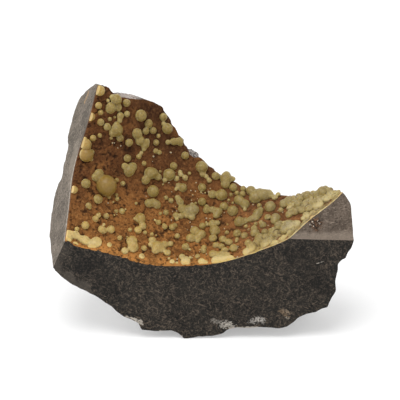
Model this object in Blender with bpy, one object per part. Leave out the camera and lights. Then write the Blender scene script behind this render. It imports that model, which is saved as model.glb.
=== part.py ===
# Botryoidal calcite on basalt: a sawn wedge out of the wall of a gas bubble.
#
# The piece is laid out on a flat sheet, ruled in half-millimetre squares, that
# stands behind the front saw cut and is tilted back by VIEW_TILT. Columns and
# rows are counted from the sheet's upper left corner. Every outline and every
# ball is set down on the sheet and carried into the piece along the straight
# line from the station point through its place on the sheet, until the line
# meets a saw plane or the wall of the bubble. Lengths here are millimetres;
# the finished meshes are scaled to metres.
import math

import bmesh
import bpy
import numpy as np
from mathutils import Matrix, Vector, geometry

# ---------------------------------------------------------------- dimensions
MM = 0.001
SQUARE = 0.5                          # side of one layout square
VIEW_TILT = math.radians(25.0)        # lean of the layout sheet
STATION_DISTANCE = 700.0              # station point to sheet
SHEET_CENTRE = (0.0, 30.0, 62.4)      # square (200, 200)
ORIGIN_SHIFT = (-10.5, -30.7, 0.0)    # puts the base face's centre at the origin

# The gas bubble: a lying ellipsoid, long axis swung and rolled.
BUBBLE_CENTRE = (-28.3, -43.5, 131.9)
BUBBLE_RADII = (160.0, 73.4, 97.1)
BUBBLE_YAW = math.radians(40.3)
BUBBLE_ROLL = math.radians(22.0)
RIM_BLEND = 15.0                      # how far the wall's undulation reaches in
EDGE_ON = 0.24                        # facing below which the wall is carried on
WALL_MIDDLE = np.array([190.0, 180.0])

LEFT_CUT_TURN = math.radians(18.6)    # left saw plane about its corner line
FACET_LEAN = math.radians(43.0)       # right bevel, leaned back from upright
BEVEL_ASIDE = 40.0                    # middle of the bevel saw, along the crease
UNDERCUT = 0.40                       # fall of the underside per unit of depth
LEFT_BACK_RUN = (0.74, 0.64, -0.24)   # how the left side runs back into the rock

GAP = 0.3                             # between touching pieces
CRUST = 1.0                           # thickness of the ochre lining
BACK_THICKNESS = 27.0                 # rock behind the upper left wall
BALL_SINK = 0.50                      # ball centre above the lining, in radii
GRID = 15.0                           # wall facets, in squares

# ------------------------------------------------------------------ outlines
FRONT_RIM = [(65, 242), (75, 246), (90, 250), (105, 252.5), (118, 256),
             (130, 261), (142, 264), (155, 265.5), (166, 266), (178, 266),
             (190, 266), (200, 265.5), (212, 264), (225, 261.5), (240, 258),
             (252, 253.5), (262, 250), (275, 244.5), (288, 239.3)]
LEFT_RIM = [(65, 240), (67, 224.5), (69, 208.5), (70.5, 194), (72, 179),
            (75, 165.5), (77.5, 156), (79, 147), (82.5, 139), (86, 132.5),
            (87, 125.5), (88.5, 117.5), (91.5, 108), (94.5, 98.5), (96.5, 90.5),
            (97, 84)]
FACET_RIM = [(290, 239), (297, 232.5), (302, 227.5), (306.5, 222),
             (311.5, 217), (319, 212.5), (327.5, 208), (333.5, 202),
             (339, 196), (343, 192)]
LEFT_OUTER = [(95.5, 83.5), (87, 90), (81, 96), (77, 104), (74, 112),
              (72, 120), (69, 131), (67.7, 140), (68, 147), (65.5, 157.5),
              (63, 168), (61.5, 178), (57.5, 186), (55, 194), (52.7, 207),
              (50.5, 220.5), (49.5, 234), (50.5, 247.5), (52, 258), (53, 267.5)]
FACET_OUTER = [(343, 192), (348, 194), (350, 199.5), (351.3, 207.5),
               (351.7, 216), (352.5, 224), (353, 232.5), (354, 240.5)]
FRONT_RIGHT = [(354, 240.5), (352, 247), (347.3, 253.5), (345.7, 258.3),
               (341.5, 260), (338, 263.5), (338, 269.5), (336, 278),
               (335.5, 285), (336, 291), (332.5, 296.5), (329.5, 302),
               (328, 307), (322, 308.5), (315.5, 312.3), (306, 314),
               (300, 316.7), (294.5, 321.5), (287, 326.7), (279, 328.5),
               (269.5, 327.7), (260, 327)]
FRONT_BOTTOM = [(250, 328), (237, 327.5), (228, 329.3), (223, 333.5),
                (211.5, 336), (196, 337), (184.5, 339), (182.5, 337.5),
                (179, 333.5), (171, 330.3), (158, 331.2), (142, 330),
                (140.5, 328), (138.7, 323), (132, 319.7), (124.5, 317),
                (116.5, 311.5), (112.3, 307), (104.5, 302.3), (97.5, 297),
                (88, 292), (79, 288), (71, 284), (63, 278), (56, 272),
                (53, 267.5)]
SKYLINE = [(96, 83.5), (100.5, 85), (105.5, 86.2), (108, 87.5), (110.5, 91),
           (112.5, 93), (121, 92.5), (129.5, 94), (138.5, 96.7), (145, 99.2),
           (152, 101.5), (157, 104), (161.5, 106.5), (164, 111.5),
           (167.5, 116), (170, 119.5), (171.2, 124), (175, 128), (178, 135),
           (183, 139), (183.7, 143.7), (187, 148), (191, 148.5),
           (194.7, 150.4), (198.5, 153.6), (199.5, 157.5), (204, 161),
           (208.7, 166.5), (212.5, 168.3), (215.7, 172), (225, 178),
           (235.5, 182.7), (242, 187), (255, 191), (270, 194.5),
           (284, 196.2), (298.5, 197.3), (314.5, 197), (330, 195), (343, 192)]
# Where the crust ends short of the skyline: a broken ledge and a bare knob.
LEDGE = [(112.5, 93), (121, 97), (129, 98.4), (137, 99.2), (145, 99.2)]
LEDGE_DROP = 8.0                      # how far the ledge falls back
KNOB = [(187, 148), (189, 155), (193, 158), (199.5, 157.5)]
# The wall carried on past the saw cuts, which then trim it.
WALL_SPARE = [(348, 192.5), (354, 195), (356, 203), (346, 214), (332, 226),
              (318, 240), (300, 256), (280, 266), (255, 275), (230, 282),
              (200, 287), (165, 288), (130, 284), (100, 276), (72, 270),
              (52, 258), (44, 235), (46, 200), (52, 160), (60, 120),
              (70, 92), (80, 77)]

# Clusters of calcite balls: (column, row, radius), in squares.
CLUSTERS = [
    [(101.6, 90.8, 4.8)],
    [(116.3, 99.6, 5.9), (116.8, 106.2, 4.8), (111, 108, 5.6)],
    [(126.5, 102.9, 3.9)],
    [(90.7, 116.8, 4.3)],
    [(140.8, 115.5, 5.9)],
    [(163.4, 116.8, 4.2)],
    [(100.6, 122, 3.8)],
    [(116.6, 129.8, 6.5), (119.3, 136.4, 4.4)],
    [(148.5, 123.5, 4.4)],
    [(167.3, 128.6, 5.7)],
    [(86, 144.5, 6), (86.8, 154.5, 7.2)],
    [(137, 133.4, 5.6), (139.8, 140.7, 5)],
    [(129, 142.6, 4.3)],
    [(179.7, 141.2, 4.2), (173.9, 141.5, 4)],
    [(127.4, 158.2, 3.8)],
    [(185.1, 155.5, 3.9)],
    [(132, 167.2, 5), (128.6, 171.8, 5.4)],
    [(149.7, 173.1, 6), (155, 174, 5)],
    [(169.1, 174.6, 6.2)],
    [(201.7, 167, 6.3)],
    [(85.9, 183.5, 4.8)],
    [(106.3, 186, 10.2), (98.4, 176.6, 5)],
    [(73.8, 189.6, 4)],
    [(98, 199.1, 4.7)],
    [(152.9, 191.3, 6)],
    [(182.5, 187.7, 4.7)],
    [(202, 187.4, 4.2)],
    [(215, 175.9, 4.2)],
    [(226, 178.5, 6)],
    [(221.7, 195, 6.1), (213.2, 194.4, 4.7)],
    [(202, 201.7, 4.1)],
    [(148.7, 203.2, 4.6), (153, 203, 4), (156.8, 204.7, 4.5)],
    [(181.9, 209.1, 4.6), (191.5, 210.4, 6.5)],
    [(218.2, 211.6, 4.4)],
    [(232.7, 210.9, 5.8)],
    [(140.2, 218.5, 5.7)],
    [(110.8, 229.4, 4.3)],
    [(69.5, 235.3, 4.8), (76.2, 236.5, 4.4), (81, 239, 4.2), (85.6, 240.6, 4.8),
     (91, 242.6, 4.8), (96, 242, 5.8)],
    [(131.8, 241.2, 5.8), (132.8, 247.5, 5.6)],
    [(157.4, 246.6, 6), (152.3, 241.5, 4)],
    [(194.4, 231.2, 4.8), (200.6, 234.6, 4.8), (196.4, 236, 4.6),
     (191.2, 238.3, 5)],
    [(214.8, 230.6, 5.6), (213.8, 234.8, 4.6), (212.9, 238.3, 4.6)],
    [(185.5, 260.6, 5.2)],
    [(240, 201.5, 5), (244.6, 204.6, 4.6)],
    [(255.3, 197.5, 6.6), (264.6, 195.6, 6)],
    [(270.1, 207, 5.8)],
    [(239.4, 221.9, 5.6)],
    [(257.2, 213.8, 5)],
    [(275.8, 218.3, 5.2)],
    [(254.9, 232, 5)],
    [(238, 234.2, 4.6)],
    [(287.6, 226.5, 6), (281.4, 227.5, 5.2), (293.6, 226.5, 5.2)],
    [(264.8, 242.4, 5.6), (271.4, 241.8, 5)],
    [(222.4, 255.6, 5.4), (216, 255.8, 5), (228.4, 255, 4.9)],
    [(298, 203.6, 5), (304, 203.6, 5), (310.4, 202.6, 5), (316.4, 200.8, 5.2),
     (322.4, 198.6, 5.2), (328.2, 196.8, 4.8), (333, 196, 4.2)],
    [(289.6, 214, 4.6)],
]

# ------------------------------------------------------------ layout geometry
SHEET = np.array(SHEET_CENTRE)
TO_EYE = np.array([0.0, -math.cos(VIEW_TILT), math.sin(VIEW_TILT)])
SHEET_UP = np.array([0.0, math.sin(VIEW_TILT), math.cos(VIEW_TILT)])
EYE = SHEET + STATION_DISTANCE * TO_EYE
SHIFT = np.array(ORIGIN_SHIFT)


def sight(squares):
    """Unit directions from the station point through the given squares."""
    q = np.atleast_2d(np.asarray(squares, float))
    p = (SHEET + np.outer((q[:, 0] - 200.0) * SQUARE, [1.0, 0.0, 0.0])
         + np.outer((200.0 - q[:, 1]) * SQUARE, SHEET_UP))
    d = p - EYE
    return d / np.linalg.norm(d, axis=1)[:, None]


def on_plane(squares, normal, point):
    d = sight(squares)
    t = ((np.asarray(point) - EYE) @ normal) / (d @ normal)
    return EYE + t[:, None] * d


def unit(v):
    v = np.asarray(v, float)
    return v / np.linalg.norm(v)


FRONT_N = np.array([0.0, -1.0, 0.0])
ORIGIN = np.zeros(3)


def left_plane():
    """The left saw cut: it holds the piece's front left corner line."""
    top, low = on_plane([(64.8, 241.5), (53.0, 267.5)], FRONT_N, ORIGIN)
    line = Vector(unit(top - low))
    across = Matrix.Rotation(LEFT_CUT_TURN, 3, line) @ Vector((0, 1, 0))
    n = unit(line.cross(across))
    return (n if n[0] < 0 else -n), top


def facet_plane():
    """The bevel at the right: it holds the crease on the front face."""
    a, b = on_plane([(290.0, 239.0), (353.9, 240.5)], FRONT_N, ORIGIN)
    line = Vector(unit(b - a))
    rise = Matrix.Rotation(-FACET_LEAN, 3, line) @ Vector((0, 0, 1))
    n = unit(line.cross(rise))
    return (n if n[1] < 0 else -n), a


LEFT_N, LEFT_P = left_plane()
FACET_N, FACET_P = facet_plane()

_yaw = np.array([[math.cos(BUBBLE_YAW), -math.sin(BUBBLE_YAW), 0.0],
                 [math.sin(BUBBLE_YAW), math.cos(BUBBLE_YAW), 0.0],
                 [0.0, 0.0, 1.0]])
_roll = np.array([[1.0, 0.0, 0.0],
                  [0.0, math.cos(BUBBLE_ROLL), -math.sin(BUBBLE_ROLL)],
                  [0.0, math.sin(BUBBLE_ROLL), math.cos(BUBBLE_ROLL)]])
BUBBLE_AXES = _yaw @ _roll
RADII = np.array(BUBBLE_RADII)


def bubble(squares):
    """Far side of the ellipsoid: distance from the eye, and its facing."""
    d = sight(squares)
    o = ((EYE - np.array(BUBBLE_CENTRE)) @ BUBBLE_AXES) / RADII
    q = (d @ BUBBLE_AXES) / RADII
    a = (q * q).sum(1)
    b = q @ o
    t = (-b + np.sqrt(np.maximum(b * b - a * (o @ o - 1.0), 0.0))) / a
    hit = EYE + t[:, None] * d
    n = -(((hit - np.array(BUBBLE_CENTRE)) @ BUBBLE_AXES) / RADII ** 2) @ BUBBLE_AXES.T
    n /= np.linalg.norm(n, axis=1)[:, None]
    return t, np.maximum(-(n * d).sum(1), 0.15)


def _rim_fit():
    """Soft bumps that make the wall meet each saw plane along its rim."""
    pts, want = [], []
    for rim, n, p in ((FRONT_RIM, FRONT_N, ORIGIN), (LEFT_RIM, LEFT_N, LEFT_P),
                      (FACET_RIM, FACET_N, FACET_P)):
        t, f = bubble(rim)
        real = ((on_plane(rim, n, p) - EYE) * sight(rim)).sum(1)
        pts += rim
        want += list((real - t) * f)
    pts = np.array(pts, float)
    k = np.exp(-((pts[:, None] - pts[None]) ** 2).sum(2) / (2 * (2 * RIM_BLEND) ** 2))
    return pts, np.linalg.solve(k + 0.06 * np.eye(len(pts)), np.array(want))


RIM_PTS, RIM_WEIGHTS = _rim_fit()


def wall_point(squares):
    q = np.atleast_2d(np.asarray(squares, float))
    t, f = bubble(q)
    k = np.exp(-((q[:, None] - RIM_PTS[None]) ** 2).sum(2) / (2 * (2 * RIM_BLEND) ** 2))
    t = t + (k @ RIM_WEIGHTS) / f
    return EYE + t[:, None] * sight(q)


def wall(squares):
    """Points of the bubble's wall and their normals, pointing into the hollow.

    Past the place where the wall turns edge-on to the line of sight it is
    carried on along its tangent; the saws trim that part away.
    """
    q = np.atleast_2d(np.asarray(squares, float))
    held = q.copy()
    for s in np.linspace(1.0, 0.6, 161):
        bad = bubble(held)[1] < EDGE_ON
        if not bad.any():
            break
        held[bad] = WALL_MIDDLE + (q[bad] - WALL_MIDDLE) * s
    e = 0.5
    du = (wall_point(held + [e, 0]) - wall_point(held - [e, 0])) / (2 * e)
    dv = (wall_point(held + [0, e]) - wall_point(held - [0, e])) / (2 * e)
    n = np.cross(dv, du)
    n /= np.linalg.norm(n, axis=1)[:, None]
    n *= np.sign(-(n * sight(held)).sum(1))[:, None]
    rest = q - held
    return wall_point(held) + du * rest[:, :1] + dv * rest[:, 1:], n


def ramp(x, a, b):
    t = np.clip((x - a) / (b - a), 0.0, 1.0)
    return t * t * (3 - 2 * t)


# ------------------------------------------------------------------ materials
def material(name, colour, roughness):
    m = bpy.data.materials.new(name)
    m.use_nodes = True
    b = m.node_tree.nodes["Principled BSDF"]
    b.inputs["Base Color"].default_value = (*colour, 1.0)
    b.inputs["Roughness"].default_value = roughness
    b.inputs["Metallic"].default_value = 0.0
    m.diffuse_color = (*colour, 1.0)
    return m


# ---------------------------------------------------------------- scene set-up
for ob in list(bpy.data.objects):
    bpy.data.objects.remove(ob, do_unlink=True)
PARTS = bpy.data.collections.new("botryoidal_calcite")
CUTTERS = bpy.data.collections.new("cutters")
for c in (PARTS, CUTTERS):
    bpy.context.scene.collection.children.link(c)


def to_object(name, bm, mat=None, cutter=False, smooth=False):
    """Turn a millimetre bmesh into an object in metres, faces out."""
    bmesh.ops.recalc_face_normals(bm, faces=bm.faces)
    if bm.calc_volume(signed=True) < 0:
        bmesh.ops.reverse_faces(bm, faces=bm.faces)
    bmesh.ops.translate(bm, verts=bm.verts, vec=SHIFT)
    bmesh.ops.scale(bm, verts=bm.verts, vec=(MM, MM, MM))
    me = bpy.data.meshes.new(name)
    bm.to_mesh(me)
    bm.free()
    ob = bpy.data.objects.new(name, me)
    (CUTTERS if cutter else PARTS).objects.link(ob)
    if cutter:
        ob.hide_render = True
        ob.display_type = 'WIRE'
    if mat:
        me.materials.append(mat)
    if smooth:
        me.shade_smooth()
    return ob


def cut(ob, tool, operation='DIFFERENCE'):
    m = ob.modifiers.new(operation.lower() + "_" + tool.name, 'BOOLEAN')
    m.operation = operation
    m.solver = 'EXACT'
    m.object = tool


def fit_mesh(squares, lines):
    """Flat triangle net over the sheet, kept to the given lines."""
    verts = [Vector(v) for v in squares]
    return geometry.delaunay_2d_cdt(verts, lines, [], 0, 1e-6)


def inside(poly, q):
    x, y = q[:, 0], q[:, 1]
    hit = np.zeros(len(q), bool)
    j = len(poly) - 1
    for i in range(len(poly)):
        xi, yi = poly[i]
        xj, yj = poly[j]
        if yi != yj:
            hit ^= ((yi > y) != (yj > y)) & (x < (xj - xi) * (y - yi) / (yj - yi) + xi)
        j = i
    return hit


def edge_distance(poly, q):
    best = np.full(len(q), 1e9)
    for a, b in zip(poly, poly[1:] + poly[:1]):
        a, b = np.array(a, float), np.array(b, float)
        s = np.clip(((q - a) @ (b - a)) / max((b - a) @ (b - a), 1e-9), 0, 1)
        best = np.minimum(best, np.linalg.norm(q - (a + s[:, None] * (b - a)), axis=1))
    return best


def net(poly, inner_lines, step, rng, seeds=None):
    """Squares, triangles over a polygon: its corners, its lines, a loose grid."""
    pts = [tuple(map(float, p)) for p in poly]
    lines = [(i, (i + 1) % len(pts)) for i in range(len(pts))]
    for chain in inner_lines:
        ids = []
        for p in chain:
            p = tuple(map(float, p))
            if p not in pts:
                pts.append(p)
            ids.append(pts.index(p))
        lines += list(zip(ids, ids[1:]))
    x0, y0 = np.min(poly, axis=0)
    x1, y1 = np.max(poly, axis=0)
    fill = []
    for r, y in enumerate(np.arange(y0, y1, step * 0.87) if seeds is None else []):
        for x in np.arange(x0 + (r % 2) * step / 2, x1, step):
            fill.append((x + rng.uniform(-1, 1) * step * 0.14,
                         y + rng.uniform(-1, 1) * step * 0.14))
    fill = np.array(fill).reshape(-1, 2)
    keep = inside(poly, fill) & (edge_distance(list(poly), fill) > step * 0.42)
    for chain in inner_lines:
        keep &= edge_distance(list(chain) + list(chain)[::-1], fill) > step * 0.3
    pts += [tuple(p) for p in fill[keep]]
    if seeds is not None:
        have = {(round(p[0], 4), round(p[1], 4)) for p in pts}
        pts += [tuple(p) for p in seeds
                if (round(p[0], 4), round(p[1], 4)) not in have]
    out = fit_mesh(pts, lines)
    q = np.array([tuple(v) for v in out[0]])
    tris = np.array([f for f in out[2]])
    mid = q[tris].mean(1)
    return q, tris[inside(poly, mid)]


def slab(squares, tris, upper, lower):
    """Closed solid between two surfaces over the same net, side walls between."""
    bm = bmesh.new()
    tag = bm.verts.layers.int.new("net")
    top = {}
    for i in sorted(set(tris.ravel().tolist())):
        top[i] = bm.verts.new(upper[i])
        top[i][tag] = i
    faces = [bm.faces.new([top[i] for i in t]) for t in tris.tolist()]
    ext = bmesh.ops.extrude_face_region(bm, geom=faces, use_keep_orig=True)
    for v in ext["geom"]:
        if isinstance(v, bmesh.types.BMVert):
            v.co = lower[v[tag]]
    bmesh.ops.triangulate(bm, faces=[f for f in bm.faces if len(f.verts) > 3])
    return bm


def prism(points3, direction, start, end):
    """A closed outline swept along a direction."""
    bm = bmesh.new()
    d = np.asarray(direction, float)
    vs = [bm.verts.new(np.asarray(p) + d * start) for p in points3]
    face = bm.faces.new(vs)
    ext = bmesh.ops.extrude_face_region(bm, geom=[face], use_keep_orig=True)
    move = [g for g in ext["geom"] if isinstance(g, bmesh.types.BMVert)]
    bmesh.ops.translate(bm, verts=move, vec=d * (end - start))
    bmesh.ops.triangulate(bm, faces=bm.faces)
    return bm


def block(normal, point, size=(400.0, 400.0, 400.0), aside=0.0):
    """A big box whose one face lies on the plane, on its outer side."""
    bm = bmesh.new()
    bmesh.ops.create_cube(bm, size=1.0)
    bmesh.ops.scale(bm, vec=size, verts=bm.verts)
    bmesh.ops.translate(bm, vec=(aside, 0, size[2] / 2), verts=bm.verts)
    turn = Vector(unit(normal)).to_track_quat('Z', 'Y').to_matrix().to_4x4()
    bmesh.ops.transform(bm, matrix=Matrix.Translation(Vector(point)) @ turn,
                        verts=bm.verts)
    return bm


# -------------------------------------------------------------------- cutters
front_saw = to_object("front_saw", block(FRONT_N, ORIGIN), cutter=True)
left_saw = to_object("left_saw", block(LEFT_N, LEFT_P), cutter=True)
# the bevel saw only reached the right end
bevel_saw = to_object("bevel_saw", block(FACET_N, FACET_P, (110, 300, 200), BEVEL_ASIDE),
                      cutter=True)
ground = to_object("ground", block((0, 0, -1), (0, 0, 0)), cutter=True)


def drop(p):
    """Front outline place of a point, undoing the fall of the underside."""
    return np.array([p[0], 0.0, p[2] + UNDERCUT * p[1]])


outline = [drop(p) for p in on_plane(FRONT_BOTTOM[::-1], FRONT_N, ORIGIN)]
outline += [drop(p) for p in on_plane(FRONT_RIGHT[::-1], FRONT_N, ORIGIN)]
outline += [drop(p) for p in on_plane(FACET_OUTER[::-1][1:], FACET_N, FACET_P)]
outline += [np.array([76.0, 0.0, 100.0]), np.array([80.0, 0.0, 170.0]),
            np.array([-100.0, 0.0, 170.0]), np.array([-100.0, 0.0, 60.0])]
front_form = to_object("front_form", prism(outline, (0, 1, -UNDERCUT), -15, 110),
                       cutter=True)

side = list(on_plane(LEFT_OUTER, LEFT_N, LEFT_P))
corner_line = unit(side[-1] - LEFT_P)
backward = unit(np.cross([0, 0, 1.0], LEFT_N))
backward = backward if backward[1] > 0 else -backward
low_dir = unit(0.85 * corner_line - 0.5 * backward)
top_dir = unit(side[0] - side[1])
side = ([side[0] + top_dir * 40 - backward * 10] + side
        + [side[-1] + low_dir * 70, side[-1] + low_dir * 70 - backward * 150,
           side[0] + top_dir * 40 - backward * 150])
left_form = to_object("left_form", prism(side, unit(LEFT_BACK_RUN), -25, 220),
                      cutter=True)

# ------------------------------------------------------------ basalt and crust
rng = np.random.default_rng(11)
WALL_EDGE = SKYLINE + WALL_SPARE
squares, tris = net(WALL_EDGE, [LEDGE, KNOB], GRID, rng)
wp, wn = wall(squares)
cols, rows = squares[:, 0], squares[:, 1]

ledge_zone = LEDGE + [(138.5, 96.7), (129.5, 94), (121, 92.5)]
knob_zone = KNOB + [(198.5, 153.6), (194.7, 150.4), (191, 148.5)]
mids = squares[tris].mean(1)
bare = inside(ledge_zone, mids) | inside(knob_zone, mids)

rock_top = wp.copy()
for i, q in enumerate(squares):
    if (round(q[0], 1), round(q[1], 1)) in {(121.0, 92.5), (129.5, 94.0),
                                            (138.5, 96.7)}:
        rock_top[i] += sight([q])[0] * LEDGE_DROP

# Behind the upper left wall the rock is thin and runs back along the line of
# sight; at the right and below it goes down to the ground, spreading a little.
down = np.clip(ramp(cols, 150, 250) + ramp(rows, 140, 215), 0, 1)[:, None]
back_face = wp + sight(squares) * (BACK_THICKNESS + 9 * ramp(cols, 85, 175)
                                   + rng.normal(0, 1.2, len(cols)))[:, None]
spread = np.stack([(wp[:, 0] - 5) / 160, (wp[:, 1] - 30) / 130,
                   -np.ones(len(wp))], axis=1)
low_face = wp + spread * (wp[:, 2:] + 12.0)
rock_back = back_face * (1 - down) + low_face * down

basalt = material("basalt", (0.060, 0.054, 0.047), 0.80)
ochre = material("ochre_crust", (0.235, 0.120, 0.050), 0.92)
calcite = material("calcite", (0.62, 0.53, 0.29), 0.38)

rock = to_object("basalt_matrix",
                 slab(squares, tris, rock_top, rock_back), basalt)
for saw in (front_saw, left_saw, bevel_saw):
    cut(rock, saw)
cut(rock, front_form, 'INTERSECT')
cut(rock, left_form, 'INTERSECT')
cut(rock, ground)

crust_tris = tris[~bare]
crust = to_object("ochre_lining",
                  slab(squares, crust_tris, wp + wn * (GAP + CRUST), wp + wn * GAP),
                  ochre)
cut(crust, front_saw)
cut(crust, left_saw)
cut(crust, bevel_saw)

# ------------------------------------------------------------------ the balls
# The bed is everything under the crust's surface, carried on past the skyline.
BEYOND = [(78, 68), (100, 72), (118, 78), (140, 83), (160, 88), (178, 108),
          (190, 124), (202, 140), (214, 152), (232, 165), (250, 174),
          (275, 180), (300, 182), (325, 182), (344, 182)]
bed_sq, bed_tri = net(BEYOND + WALL_SPARE[:-1], [SKYLINE], GRID,
                      np.random.default_rng(5), seeds=squares)
bp, bn = wall(bed_sq)
bed = to_object("bed", slab(bed_sq, bed_tri, bp + bn * (2 * GAP + CRUST + 0.06),
                            bp - bn * 12.0), cutter=True)


def ball_place(col, row, rad):
    """Centre and radius of a ball that fills its circle on the sheet."""
    p, n = wall([(col, row)])
    d = sight([(col, row)])[0]
    facing = max(-(n[0] @ d), 0.35)
    scale = np.linalg.norm(p[0] - EYE) / STATION_DISTANCE
    r = rad * SQUARE * scale
    lift = (2 * GAP + CRUST + BALL_SINK * r) / facing
    return p[0] - d * lift, r * (1 - lift / STATION_DISTANCE)


def ball(name, col, row, rad, cutter=False):
    c, r = ball_place(col, row, rad)
    bm = bmesh.new()
    bmesh.ops.create_icosphere(bm, subdivisions=2 if rad > 9 else 1, radius=r * 1.04)
    spin = Matrix.Rotation(col * 0.7, 4, 'Z') @ Matrix.Rotation(row * 0.5, 4, 'X')
    bmesh.ops.transform(bm, matrix=Matrix.Translation(Vector(c)) @ spin,
                        verts=bm.verts)
    return to_object(name, bm, calcite if not cutter else None, cutter=cutter,
                     smooth=True)


for k, group in enumerate(CLUSTERS):
    name = "calcite_%02d" % (k + 1)
    first = ball(name, *group[0])
    for j, b in enumerate(group[1:]):
        cut(first, ball("%s_lobe_%d" % (name, j + 2), *b, cutter=True), 'UNION')
    cut(first, bed)
    cols_, rows_ = zip(*[(b[0], b[1]) for b in group])
    reach = max(b[2] for b in group) + 6
    near = lambda rim: min(math.hypot(b[0] - x, b[1] - y)
                           for b in group for x, y in rim) < reach + 8
    if near(FRONT_RIM):
        cut(first, front_saw)
    if near(LEFT_RIM):
        cut(first, left_saw)
    if near(FACET_RIM):
        cut(first, bevel_saw)
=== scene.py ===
# Looks of the botryoidal calcite specimen: rock, lining, calcite, light and camera.
#
# The surfaces follow the same layout sheet as the solids: half-millimetre squares
# on a tilted sheet, carried along the lines from the station point. Lengths are
# millimetres until a mesh is finished, and metres after that.
import math

import bmesh
import bpy
import numpy as np
from mathutils import Matrix, Vector, geometry


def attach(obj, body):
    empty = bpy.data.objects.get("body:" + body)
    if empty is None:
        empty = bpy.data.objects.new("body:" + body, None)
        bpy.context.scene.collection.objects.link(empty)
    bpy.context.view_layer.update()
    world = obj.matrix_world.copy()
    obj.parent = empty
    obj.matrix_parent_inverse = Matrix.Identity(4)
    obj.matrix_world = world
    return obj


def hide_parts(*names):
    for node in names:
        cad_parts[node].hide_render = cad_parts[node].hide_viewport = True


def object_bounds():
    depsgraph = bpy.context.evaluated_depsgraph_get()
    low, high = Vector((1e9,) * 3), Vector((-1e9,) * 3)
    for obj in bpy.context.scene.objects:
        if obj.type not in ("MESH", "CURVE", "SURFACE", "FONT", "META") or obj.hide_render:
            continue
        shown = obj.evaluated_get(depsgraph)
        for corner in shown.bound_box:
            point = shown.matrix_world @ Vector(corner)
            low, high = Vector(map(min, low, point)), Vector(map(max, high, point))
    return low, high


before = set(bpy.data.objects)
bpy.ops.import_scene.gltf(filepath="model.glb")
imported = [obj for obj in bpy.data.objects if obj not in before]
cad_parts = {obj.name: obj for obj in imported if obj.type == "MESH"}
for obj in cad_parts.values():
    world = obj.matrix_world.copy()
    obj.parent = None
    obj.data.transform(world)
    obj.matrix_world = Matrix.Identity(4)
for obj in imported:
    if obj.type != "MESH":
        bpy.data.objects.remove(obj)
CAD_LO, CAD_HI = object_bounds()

MM = 0.001
SQUARE = 0.5
VIEW_TILT = math.radians(25.0)
STATION_DISTANCE = 700.0
SHEET_CENTRE = (0.0, 30.0, 62.4)
ORIGIN_SHIFT = (-10.5, -30.7, 0.0)
BUBBLE_CENTRE = (-28.3, -43.5, 131.9)
BUBBLE_RADII = (160.0, 73.4, 97.1)
BUBBLE_YAW = math.radians(40.3)
BUBBLE_ROLL = math.radians(22.0)
RIM_BLEND = 15.0
EDGE_ON = 0.24
WALL_MIDDLE = np.array([190.0, 180.0])
LEFT_CUT_TURN = math.radians(18.6)
FACET_LEAN = math.radians(43.0)
UNDERCUT = 0.40
LEFT_BACK_RUN = (0.74, 0.64, -0.24)
CRUST_TOP = 1.3
BACK_THICKNESS = 27.0
BALL_SINK = 0.24
LEDGE_DROP = 8.0


FRONT_RIM = [(65, 242), (75, 246), (90, 250), (105, 252.5), (118, 256),
             (130, 261), (142, 264), (155, 265.5), (166, 266), (178, 266),
             (190, 266), (200, 265.5), (212, 264), (225, 261.5), (240, 258),
             (252, 253.5), (262, 250), (275, 244.5), (288, 239.3)]
LEFT_RIM = [(65, 240), (67, 224.5), (69, 208.5), (70.5, 194), (72, 179),
            (75, 165.5), (77.5, 156), (79, 147), (82.5, 139), (86, 132.5),
            (87, 125.5), (88.5, 117.5), (91.5, 108), (94.5, 98.5), (96.5, 90.5),
            (97, 84)]
FACET_RIM = [(290, 239), (297, 232.5), (302, 227.5), (306.5, 222),
             (311.5, 217), (319, 212.5), (327.5, 208), (333.5, 202),
             (339, 196), (343, 192)]
LEFT_OUTER = [(95.5, 83.5), (87, 90), (81, 96), (77, 104), (74, 112),
              (72, 120), (69, 131), (67.7, 140), (68, 147), (65.5, 157.5),
              (63, 168), (61.5, 178), (57.5, 186), (55, 194), (52.7, 207),
              (50.5, 220.5), (49.5, 234), (50.5, 247.5), (52, 258), (53, 267.5)]
FACET_OUTER = [(343, 192), (348, 194), (350, 199.5), (351.3, 207.5),
               (351.7, 216), (352.5, 224), (353, 232.5), (354, 240.5)]
FRONT_RIGHT = [(354, 240.5), (352, 247), (347.3, 253.5), (345.7, 258.3),
               (341.5, 260), (338, 263.5), (338, 269.5), (336, 278),
               (335.5, 285), (336, 291), (332.5, 296.5), (329.5, 302),
               (328, 307), (322, 308.5), (315.5, 312.3), (306, 314),
               (300, 316.7), (294.5, 321.5), (287, 326.7), (279, 328.5),
               (269.5, 327.7), (260, 327)]
FRONT_BOTTOM = [(250, 328), (237, 327.5), (228, 329.3), (223, 333.5),
                (211.5, 336), (196, 337), (184.5, 339), (182.5, 337.5),
                (179, 333.5), (171, 330.3), (158, 331.2), (142, 330),
                (140.5, 328), (138.7, 323), (132, 319.7), (124.5, 317),
                (116.5, 311.5), (112.3, 307), (104.5, 302.3), (97.5, 297),
                (88, 292), (79, 288), (71, 284), (63, 278), (56, 272),
                (53, 267.5)]
SKYLINE = [(96, 83.5), (100.5, 85), (105.5, 86.2), (108, 87.5), (110.5, 91),
           (112.5, 93), (121, 92.5), (129.5, 94), (138.5, 96.7), (145, 99.2),
           (152, 101.5), (157, 104), (161.5, 106.5), (164, 111.5),
           (167.5, 116), (170, 119.5), (171.2, 124), (175, 128), (178, 135),
           (183, 139), (183.7, 143.7), (187, 148), (191, 148.5),
           (194.7, 150.4), (198.5, 153.6), (199.5, 157.5), (204, 161),
           (208.7, 166.5), (212.5, 168.3), (215.7, 172), (225, 178),
           (235.5, 182.7), (242, 187), (255, 191), (270, 194.5),
           (284, 196.2), (298.5, 197.3), (314.5, 197), (330, 195), (343, 192)]
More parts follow.
